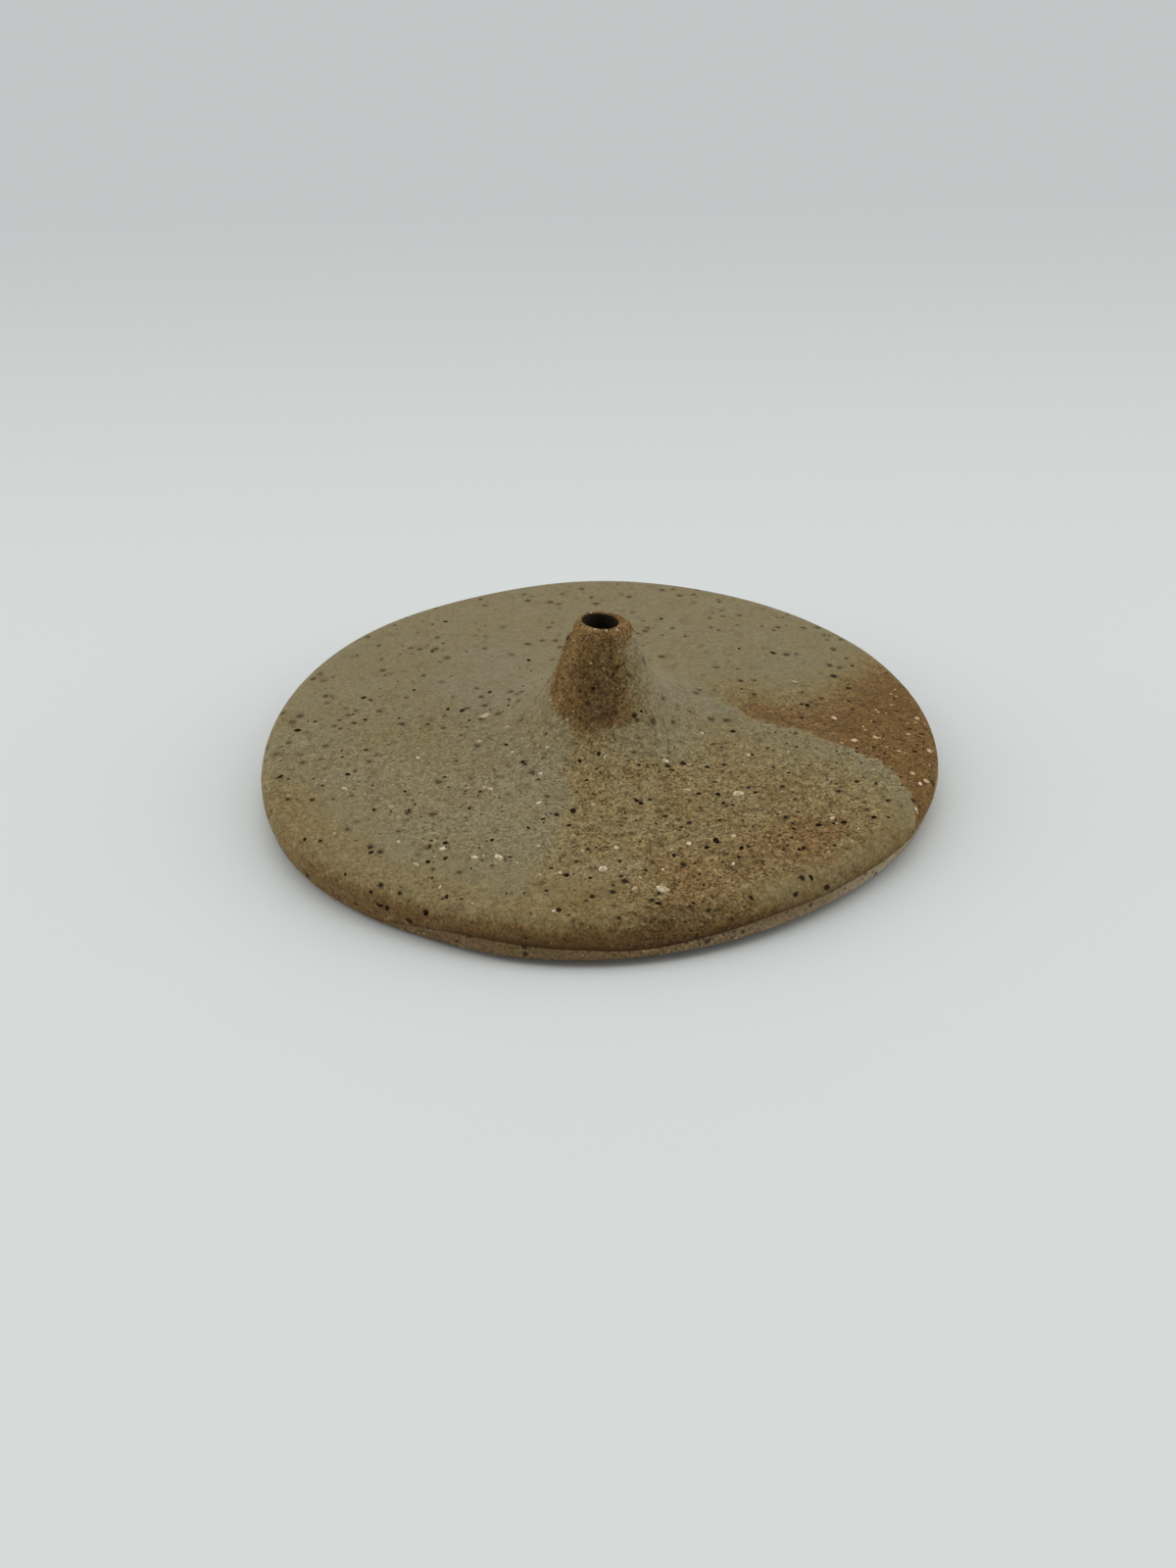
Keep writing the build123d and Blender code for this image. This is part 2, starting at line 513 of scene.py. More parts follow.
@dataclass(frozen=True)
class PourLines:
    """Lines where the pours end or meet, as (distance from the axis, degrees anticlockwise from +X)."""

    wedge_front: tuple[Point, ...] = (
        (17.0, 9.0), (19.8, 2.0), (23.9, -1.8), (28.0, -5.2), (32.1, -10.0), (35.9, -13.3),
        (38.1, -15.9), (39.8, -18.1), (41.5, -21.2), (43.0, -24.4), (45.0, -28.8),
    )
    wedge_back: tuple[Point, ...] = (
        (17.0, 9.0), (19.8, 2.0), (21.8, 0.1), (24.9, -1.8), (28.0, -2.8),
        (31.6, 0.0), (34.1, 3.6), (36.8, 7.8), (40.0, 11.4), (43.2, 13.4),
    )
    seam: tuple[Point, ...] = (
        (7.7, -112.0), (10.1, -116.0), (15.0, -110.0), (20.2, -99.5),
        (23.6, -101.5), (29.6, -99.8), (37.8, -103.0), (44.7, -105.0),
    )
    patch_left: tuple[Point, ...] = ((3.8, -172.0), (6.0, -165.0), (7.0, -150.0), (7.4, -125.0))
    patch_right: tuple[Point, ...] = ((3.8, -78.0), (5.5, -72.0), (6.6, -78.0), (7.4, -100.0))
    wander: float = 0.22  # how far the lines wander to each side
    wander_waves: tuple[Wave, ...] = ((1.0, 1.1, 0.5), (0.6, 2.3, 2.0))  # along the distance from the axis
    seam_wander: Point = (11.0, 20.0)  # distances between which the seam starts to
    wedge_wander: Point = (21.0, 26.0)  # the same for the wedge's edges

    def edges(self, pour: Pour, radius: Array) -> tuple[Array, Array]:
        """Angles at which a pour starts and ends.

        Args:
            pour: Which pour.
            radius: Distances from the axis.

        Returns:
            Start and end in degrees, anticlockwise, at each distance.
        """
        wobble = np.degrees(self.wander * waves(self.wander_waves, radius) / radius)
        at_seam = ease(radius, *self.seam_wander) * wobble
        at_wedge = ease(radius, *self.wedge_wander) * wobble
        if pour is Pour.FRONT:
            start = along(self.patch_right + self.seam, radius) + at_seam
            return start, along(self.wedge_front, radius) - at_wedge
        end = along(self.patch_left + self.seam, radius) + at_seam + 360
        return along(self.wedge_back, radius) + at_wedge, end


@dataclass(frozen=True)
class GlazeDepth:
    """How thick the glaze lies. Its colour goes from clay brown, where thin, to grey-green and blue-grey."""

    front: float = 0.21
    back: float = 0.37
    limits: Point = (0.03, 0.6)
    seam_softness: float = 1.6
    rim_left: tuple[Point, ...] = (  # share of the depth left on the rim's side, by the turn; the thin brown glaze at the front is partly real and partly painted shade
        (0.0, 0.5), (40.0, 0.7), (180.0, 0.9), (205.0, 0.9), (230.0, 0.35), (260.0, 0.0),
        (282.0, 0.05), (298.0, 0.5), (318.0, 0.5), (335.0, 0.7), (360.0, 0.5),
    )
    rim_roll: Point = (1.4, 3.4)  # lengths up from the glaze line between which the rim's side ends; the thinner glaze there partly stands in as painted shade for a steeper side
    patch_from: tuple[Point, ...] = (  # turn at which the spout's bare patch starts, by the distance
        (3.4, 175.0), (5.0, 177.0), (6.4, 179.0), (6.9, 188.0), (7.5, 206.0), (7.9, 217.0), (8.6, 240.0),
    )
    patch_to: tuple[Point, ...] = (  # turn at which it ends
        (3.4, 282.0), (4.3, 283.0), (5.0, 284.0), (6.4, 283.0), (7.3, 280.0), (8.0, 274.0), (8.6, 260.0),
    )
    patch_fade: tuple[Point, ...] = (  # share still bare past the patch's end, by the turn from it
        (-33.0, 1.0), (0.0, 0.85), (12.0, 0.55), (27.0, 0.32), (45.0, 0.16), (62.0, 0.06), (77.0, 0.0),
    )
    patch_edge: Point = (-0.5, 0.7)  # distances about the patch's start between which it sets in
    patch_foot: float = 8.2
    patch_foot_softness: float = 1.4
    patch_run: float = 0.6  # how far the patch runs down at its lowest
    patch_run_turn: Point = (255.0, 22.0)  # middle and width of that run
    flare_pool: float = 0.07  # glaze that pools on the flare's right
    flare_pool_turn: Point = (0.1, 0.9)  # cosines of the turn from the wedge between which the pool sets in
    flare_pool_end: Point = (13.0, 20.0)  # by the distance
    bead_width: float = 11.0
    left_band: tuple[Point, ...] = (  # distance of a thin band, by the turn
        (190.0, 44.9), (195.4, 42.0), (202.6, 38.4), (221.0, 39.3), (237.3, 39.2), (253.6, 40.0),
    )
    left_band_change: float = -0.13
    left_band_softness: float = 2.0
    ovals: tuple[Oval, ...] = (
        Oval((-14.5, 12.0), (8.0, 13.0), 10.0, 0.08),
        Oval((-24.5, -2.5), (6.5, 4.5), 0.0, -0.05),
        Oval((-9.6, -22.5), (6.0, 9.0), 0.0, 0.06),
        Oval((0.1, -34.5), (6.0, 3.5), 0.0, 0.05),
        Oval((20.5, 0.0), (5.0, 5.0), 0.0, 0.03),
        Oval((12.0, -36.8), (7.0, 4.4), -5.0, -0.10),
        Oval((25.5, -28.2), (8.5, 5.2), 22.0, -0.11),
        Oval((22.9, -9.0), (7.0, 5.0), -20.0, 0.06),
        # partly thicker glaze and partly a painted highlight along the rolled rim at the front right
        Oval((23.6, -37.4), (8.0, 1.2), 32.0, 0.10),
        Oval((31.6, -31.5), (7.0, 1.2), 45.0, 0.11),
        Oval((9.0, -41.5), (9.0, 2.6), 5.0, -0.07),
        Oval((6.5, -7.5), (4.5, 4.5), 0.0, 0.15),
        Oval((1.0, -10.5), (3.5, 2.5), 0.0, 0.06),
        # painted highlight: a narrow paler band along the spout's right
        Oval((8.5, 0.5), (2.5, 5.0), 0.0, 0.06),
    )

    def at(self, spots: Spots, lines: PourLines) -> Array:
        """Depth of the glaze on the disc's top and the spout, away from the pours' edges.

        Args:
            spots: Places on the clay.
            lines: Lines of the pours.

        Returns:
            Depth at each place.
        """
        radius, turn = spots.radius, spots.turn
        wedge = lines.wedge_front[0][1]
        round_from_wedge = (turn - wedge) % 360
        seam = along(lines.patch_left + lines.seam, radius) + 360 - wedge
        past_seam = np.radians(round_from_wedge - seam) * radius
        front_side = ease(past_seam, -self.seam_softness, self.seam_softness)
        depth = self.back + (self.front - self.back) * front_side
        wedge_front = along(lines.wedge_front, radius) + 360 - wedge
        below_wedge = np.radians(wedge_front - round_from_wedge) * radius
        bead = front_side * (1 - ease(below_wedge, 0.0, self.bead_width))
        depth = depth + (self.back - self.front) * bead
        right_side = ease(np.cos(np.radians(turn - wedge)), *self.flare_pool_turn)
        depth = depth + self.flare_pool * right_side * (1 - ease(radius, *self.flare_pool_end))
        past_band = radius - along(self.left_band, spots.full_turn)
        band = ease(past_band, -self.left_band_softness, self.left_band_softness)
        depth = depth + self.left_band_change * band * (1 - front_side)
        for oval in self.ovals:
            depth = depth + oval.at(spots)
        return np.clip(depth, *self.limits)

    def bare(self, spots: Spots) -> Array:
        """Share of the glaze that is missing on the spout's patch.

        Args:
            spots: Places on the clay.

        Returns:
            Shares from 0 to 1.
        """
        radius, turn = spots.radius, spots.full_turn
        past_start = np.radians(turn - along(self.patch_from, radius)) * radius
        left_bare = along(self.patch_fade, turn - along(self.patch_to, radius))
        above_foot = self.patch_foot + self.patch_run * hump(turn, *self.patch_run_turn) - radius
        foot = ease(above_foot, -self.patch_foot_softness, self.patch_foot_softness)
        return ease(past_start, *self.patch_edge) * left_bare * foot


class Workbench:
    """Steps that the pieces share: turning, moving vertices, smoothing, dressing and seating on the body."""

    START_SIZE = 0.01  # of the plane that is merged into the first point of a section
    MERGE_DISTANCE = 0.002

    @staticmethod
    def clear_selection() -> None:
        """Leaves object mode with nothing selected."""
        if bpy.context.mode != "OBJECT":
            bpy.ops.object.mode_set(mode="OBJECT")
        bpy.ops.object.select_all(action="DESELECT")

    @staticmethod
    def label(name: str) -> Piece:
        """Names the active piece and its mesh.

        Args:
            name: The name.

        Returns:
            The piece.
        """
        piece = bpy.context.object
        piece.name = name
        piece.data.name = name
        return piece

    @staticmethod
    def edit_all(step: Callable[..., set[str]], **settings: object) -> None:
        """Runs one step of edit mode on the whole of the active piece.

        Args:
            step: The step.
            **settings: Settings of the step.
        """
        bpy.ops.object.mode_set(mode="EDIT")
        bpy.ops.mesh.select_all(action="SELECT")
        step(**settings)
        bpy.ops.object.mode_set(mode="OBJECT")

    @classmethod
    def turn(cls, name: str, chain: list[Point], steps: int) -> Piece:
        """Turns a section about the holder's axis into a closed skin.

        Args:
            name: Name of the new piece.
            chain: Points of the section in order. A ring's section ends where it starts.
            steps: Number of steps round the axis.

        Returns:
            The new piece.
        """
        cls.clear_selection()
        radius, height = chain[0]
        start = (radius * MM, 0.0, height * MM)
        bpy.ops.mesh.primitive_plane_add(size=cls.START_SIZE * MM, location=start)
        piece = cls.label(name)
        bpy.ops.object.transform_apply(location=True, rotation=True, scale=True)
        bpy.ops.object.mode_set(mode="EDIT")
        bpy.ops.mesh.merge(type="CENTER")
        for (r0, z0), (r1, z1) in zip(chain, chain[1:]):
            move = ((r1 - r0) * MM, 0.0, (z1 - z0) * MM)
            bpy.ops.mesh.extrude_region_move(TRANSFORM_OT_translate={"value": move})
        bpy.ops.object.mode_set(mode="OBJECT")
        merge = {"threshold": cls.MERGE_DISTANCE * MM}
        cls.edit_all(bpy.ops.mesh.remove_doubles, **merge)
        cls.edit_all(bpy.ops.mesh.spin, steps=steps, angle=2 * math.pi, center=(0, 0, 0), axis=(0, 0, 1))
        cls.edit_all(bpy.ops.mesh.remove_doubles, **merge)
        cls.edit_all(bpy.ops.mesh.normals_make_consistent, inside=False)
        return piece

    @staticmethod
    def points(piece: Piece) -> Array:
        """Reads where a piece's vertices are.

        Args:
            piece: The piece.

        Returns:
            Rows of x, y and z in millimetres.
        """
        rows = np.empty((len(piece.data.vertices), 3))
        piece.data.vertices.foreach_get("co", rows.ravel())
        return rows / MM

    @staticmethod
    def move(piece: Piece, points: Array) -> None:
        """Moves a piece's vertices to rows of millimetres."""
        piece.data.vertices.foreach_set("co", (points * MM).ravel())
        piece.data.update()

    @staticmethod
    def paint(piece: Piece, name: str, values: Array) -> None:
        """Stores one value for each vertex, which a finish reads by name."""
        layer = piece.data.attributes.new(name, "FLOAT", "POINT")
        layer.data.foreach_set("value", np.ascontiguousarray(values, dtype=np.float32))

    @classmethod
    def dress(cls, piece: Piece, crease: float, finish: Material, slot: str, *nodes: str) -> Piece:
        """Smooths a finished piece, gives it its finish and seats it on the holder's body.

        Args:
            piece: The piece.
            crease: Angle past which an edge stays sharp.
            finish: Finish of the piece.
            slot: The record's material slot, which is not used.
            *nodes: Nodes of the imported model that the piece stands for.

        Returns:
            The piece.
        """
        cls.clear_selection()
        piece.select_set(True)
        bpy.context.view_layer.objects.active = piece
        bpy.ops.object.shade_smooth_by_angle(angle=math.radians(crease))
        piece.data.materials.append(finish)
        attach(piece, BODY)
        if nodes:
            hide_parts(*nodes)
        return piece


class NodeBoard:
    """Places the nodes of one shader tree and wires them."""

    def __init__(self, tree: Tree) -> None:
        """Starts on an empty tree."""
        self.tree = tree
        tree.nodes.clear()

    def node(self, kind: str, inputs: dict | None = None, **settings: object) -> Node:
        """Adds a node.

        Args:
            kind: Blender's name of the node's type.
            inputs: Values or sockets to wire, by the input's name or number.
            **settings: Properties of the node itself.

        Returns:
            The new node.
        """
        made = self.tree.nodes.new(kind)
        for name, value in settings.items():
            setattr(made, name, value)
        for name, value in (inputs or {}).items():
            if isinstance(value, Socket):
                self.tree.links.new(value, made.inputs[name])
            else:
                made.inputs[name].default_value = value
        return made

    def maths(self, operation: str, first: Value, second: Value = 0.0, third: Value = 0.0) -> Socket:
        """Adds a Math node and returns its output."""
        return self.node("ShaderNodeMath", {0: first, 1: second, 2: third}, operation=operation).outputs[0]

    def times(self, value: Value, *factors: Value) -> Value:
        """Multiplies a value by one factor after another.

        Args:
            value: The value.
            *factors: The factors.

        Returns:
            The product.
        """
        for factor in factors:
            value = self.maths("MULTIPLY", value, factor)
        return value

    def about_zero(self, share: Value) -> Socket:
        """Moves shares of 0 to 1 down so that they lie evenly about 0."""
        return self.maths("SUBTRACT", share, 0.5)

    def rise(self, value: Value, ends: tuple[Value, Value], shares: Point = (0.0, 1.0)) -> Socket:
        """Adds a smooth change between two ends of a value, from one share to another.

        Args:
            value: The value.
            ends: Values at which the change starts and stops.
            shares: What it gives there.

        Returns:
            The changing share.
        """
        (low, high), (start, end) = ends, shares
        inputs = {"Value": value, "From Min": low, "From Max": high, "To Min": start, "To Max": end}
        return self.node("ShaderNodeMapRange", inputs, interpolation_type="SMOOTHSTEP").outputs[0]

    def mix(self, share: Value, first: Tint, second: Tint, blend: str = "MIX") -> Socket:
        """Mixes two colours by a share and returns the colour."""
        inputs = {0: share, 6: first, 7: second}
        return self.node("ShaderNodeMix", inputs, data_type="RGBA", blend_type=blend).outputs[2]

    def stain(self, share: Value, ground: Tint, shade: Shade) -> Socket:
        """Lays a shade over a ground by a share and returns the colour."""
        return self.mix(share, ground, linear_colour(*shade))

    def scaled(self, vector: Socket, factor: Value) -> Socket:
        """Scales a vector and returns it."""
        return self.node("ShaderNodeVectorMath", {0: vector, "Scale": factor}, operation="SCALE").outputs[0]

    def noise(self, vector: Socket, size: Value, detail: float) -> Node:
        """Adds noise whose marks are about a size across, in the vector's units."""
        fine = self.maths("DIVIDE", 1.0, size) if isinstance(size, Socket) else 1.0 / size
        return self.node("ShaderNodeTexNoise", {"Vector": vector, "Scale": fine, "Detail": detail})

    def place_in_mm(self) -> Socket:
        """Adds the place on the piece, in millimetres, and returns it."""
        return self.scaled(self.node("ShaderNodeTexCoord").outputs["Object"], 1 / MM)


class SharedEffects:
    """Node groups that more than one finish uses. Their vectors are in millimetres."""

    SPECK_SKEW = (0.35, 0.2, 0.6)  # turns the specks' cells off the holder's axes, in radians
    SPECK_RAGS = 0.45  # size of the marks that make a speck's edge ragged
    SPECK_SIZES = (1.6, 0.75, 0.25)  # power, spread and least share of the size: most specks are small
    SPECK_CORE = 0.6  # share of a speck's radius that is full
    SPECK_HALO = (1.9, 0.5)  # shares of the radius between which the halo fills up
    GRAIN_PARTS = {  # shares of each grain's own draw, of the haze on it and of the drift over many grains
        "Tone": (0.7, 1.6, 0.8),
        "Warmth": (0.8, 0.0, 1.4),
        "Height": (1.0, 2.0, 0.0),
    }
    DRIFT_SIZE = 4.0  # in grains
    NOISE_DETAIL = 2.0
    CLOUD_DETAIL = 3.0

    def __init__(self) -> None:
        """Builds the groups once."""
        self.specks = self.make_specks()
        self.grain = self.make_grain()
        self.cloud = self.make_cloud()

    @staticmethod
    def start(name: str, inputs: dict[str, float], outputs: tuple[str, ...]) -> tuple:
        """Starts a group with a vector input, named number inputs and number outputs.

        Args:
            name: Name of the group.
            inputs: Number inputs with their usual values.
            outputs: Names of the outputs.

        Returns:
            The group, its board, and its input and output nodes.
        """
        tree = bpy.data.node_groups.new(name, "ShaderNodeTree")
        tree.interface.new_socket("Vector", in_out="INPUT", socket_type="NodeSocketVector")
        for label, value in inputs.items():
            socket = tree.interface.new_socket(label, in_out="INPUT", socket_type="NodeSocketFloat")
            socket.default_value = value
        for label in outputs:
            tree.interface.new_socket(label, in_out="OUTPUT", socket_type="NodeSocketFloat")
        board = NodeBoard(tree)
        return tree, board, board.node("NodeGroupInput").outputs, board.node("NodeGroupOutput").inputs

    def make_specks(self) -> Tree:
        """Scattered ragged grains, each of its own size, with a soft halo round each.

        Returns:
            The node group.
        """
        tree, board, given, out = self.start("Scattered Specks", SPECKS, ("Core", "Halo"))
        inputs = {"Vector": given["Vector"], "Rotation": self.SPECK_SKEW}
        skew = board.node("ShaderNodeVectorRotate", inputs, rotation_type="EULER_XYZ")
        rough = board.noise(given["Vector"], self.SPECK_RAGS, self.NOISE_DETAIL).outputs["Color"]
        centred = board.node("ShaderNodeVectorMath", {0: rough, 1: (0.5, 0.5, 0.5)}, operation="SUBTRACT")
        push = board.scaled(centred.outputs[0], given["Ragged"])
        pushed = board.node("ShaderNodeVectorMath", {0: skew.outputs[0], 1: push}, operation="ADD")
        packed = board.scaled(pushed.outputs[0], board.maths("DIVIDE", 1.0, given["Spacing"]))
        cells = board.node("ShaderNodeTexVoronoi", {"Vector": packed, "Scale": 1.0})
        draws = board.node("ShaderNodeSeparateColor", {0: cells.outputs["Color"]}).outputs
        distance = board.times(cells.outputs["Distance"], given["Spacing"])
        power, spread, least = self.SPECK_SIZES
        size = board.maths("MULTIPLY_ADD", board.maths("POWER", draws[0], power), spread, least)
        radius = board.times(given["Size"], size)
        present = board.maths("LESS_THAN", draws[1], given["Share"])
        core = board.rise(distance, (radius, board.times(radius, self.SPECK_CORE)))
        halo_start, halo_full = (board.times(radius, share) for share in self.SPECK_HALO)
        halo = board.rise(distance, (halo_start, halo_full))
        board.tree.links.new(board.times(core, present), out["Core"])
        board.tree.links.new(board.times(halo, present), out["Halo"])
        return tree

    def make_grain(self) -> Tree:
        """Sandy grain in which each grain has its own tone, warmth and height, all about 0.

        Returns:
            The node group.
        """
        tree, board, given, out = self.start("Sandy Grain", {"Size": GRAIN_SIZE}, tuple(self.GRAIN_PARTS))
        packed = board.scaled(given["Vector"], board.maths("DIVIDE", 1.0, given["Size"]))
        cells = board.node("ShaderNodeTexVoronoi", {"Vector": packed, "Scale": 1.0}).outputs["Color"]
        draws = board.node("ShaderNodeSeparateColor", {0: cells}).outputs
        patch = board.times(given["Size"], self.DRIFT_SIZE)
        haze, drift = (
            board.about_zero(board.noise(given["Vector"], size, self.NOISE_DETAIL).outputs[0])
            for size in (given["Size"], patch)
        )
        for draw, (label, (own, hazy, drifting)) in zip(draws, self.GRAIN_PARTS.items()):
            value = board.times(board.about_zero(draw), own)
            value = board.maths("MULTIPLY_ADD", haze, hazy, value)
            value = board.maths("MULTIPLY_ADD", drift, drifting, value)
            board.tree.links.new(value, out[label])
        return tree

    def make_cloud(self) -> Tree:
        """Soft cloudy change from place to place, about 0.

        Returns:
            The node group.
        """
        tree, board, given, out = self.start("Clouding", {"Size": CLOUD_SIZE}, ("Tone",))
        cloud = board.noise(given["Vector"], given["Size"], self.CLOUD_DETAIL).outputs[0]
        board.tree.links.new(board.about_zero(cloud), out["Tone"])
        return tree


class FinishBoard(NodeBoard):
    """Board of one finish, with the place on the piece, the values painted on it and the shared effects."""

    def __init__(self, tree: Tree, effects: SharedEffects) -> None:
        """Starts on an empty tree.

        Args:
            tree: Tree of the material.
            effects: Node groups shared by the finishes.
        """
        super().__init__(tree)
        self.effects = effects
        self.place = self.place_in_mm()

    def painted(self, name: str) -> Socket:
        """Reads a value that is painted on the piece."""
        return self.node("ShaderNodeAttribute", attribute_name=name).outputs["Fac"]

    def effect(self, group: Tree, values: dict[str, float]) -> Outputs:
        """Adds a shared effect with its own values and returns its outputs."""
        return self.node("ShaderNodeGroup", {"Vector": self.place, **values}, node_tree=group).outputs

    def cloud(self, size: float) -> Socket:
        """Adds soft clouding, about 0, and returns it."""
        return self.effect(self.effects.cloud, {"Size": size})["Tone"]

    def grain(self, size: float) -> Outputs:
        """Adds sandy grain and returns its tone, warmth and height."""
        return self.effect(self.effects.grain, {"Size": size})

    def marks(self, kind: dict[str, float]) -> Outputs:
        """Adds scattered marks of one kind and returns their cores and halos."""
        return self.effect(self.effects.specks, kind)


@dataclass(frozen=True)
class Finish(ABC):
    """What every finish has: its name, its surface's gloss and the making of its material."""

    name: str
    roughness: float
    specular: float = 0.04
    roughness_swing: float = 0.1  # how much the grain's tone changes the roughness
    relief: float = 0.05  # height of the sandy grain

    @abstractmethod
    def surface(self, board: FinishBoard) -> tuple[Socket, Socket, Socket]:
        """Builds what the finish looks like.

        Args:
            board: Board of the material's nodes.

        Returns:
            The colour, the tone of the grain, and the fine relief in millimetres.
        """

    def material(self, effects: SharedEffects) -> Material:
        """Makes the material.

        Args:
            effects: Node groups shared by the finishes.

        Returns:
            The new material.
        """
        material = bpy.data.materials.new(self.name)
        material.use_nodes = True
        board = FinishBoard(material.node_tree, effects)
        colour, tone, height = self.surface(board)
        bump = board.node("ShaderNodeBump", {"Height": height, "Distance": MM, "Strength": 1.0})
        inputs = {
            "Base Color": colour,
            "Roughness": board.maths("MULTIPLY_ADD", tone, self.roughness_swing, self.roughness),
            "Specular IOR Level": self.specular,
            "Normal": bump.outputs[0],
        }
        shader = board.node("ShaderNodeBsdfPrincipled", inputs)
        board.node("ShaderNodeOutputMaterial", {"Surface": shader.outputs[0]})
        return material


@dataclass(frozen=True)
class SandyFinish(Finish):
    """What bare clay and the glaze over it share: cloudy brown clay and sandy grain."""

    browns: tuple[Shade, Shade] = ((101, 76, 44), (113, 88, 53))  # dark and light
    brown_size: float = 3.0  # of the clouds of dark and light
    brown_mix: Point = (0.8, 0.6)  # swing and middle of the share of light
    brown_range: Point = (0.25, 0.75)  # shares between which dark turns into light
    contrast: float = 0.95  # of the grain's tones
    darkest: float = 0.25  # share of the colour that the darkest grain keeps

    def toasted_clay(self, board: FinishBoard) -> Socket:
        """Cloudy brown of the toasted clay.

        Args:
            board: Board of the material's nodes.

        Returns:
            The colour.
        """
        swing, middle = self.brown_mix
        share = board.maths("MULTIPLY_ADD", board.cloud(self.brown_size), swing, middle)
        dark, light = self.browns
        return board.stain(board.rise(share, self.brown_range), linear_colour(*dark), light)

    def sanded(self, board: FinishBoard, ground: Socket, tone: Socket, shown: Socket) -> Socket:
        """Darkens and lightens a ground by the grain's tone, as strongly as the grain shows."""
        strength = board.maths("MULTIPLY_ADD", tone, board.times(shown, self.contrast), 1.0)
        return board.mix(1.0, ground, board.maths("MAXIMUM", strength, self.darkest), "MULTIPLY")


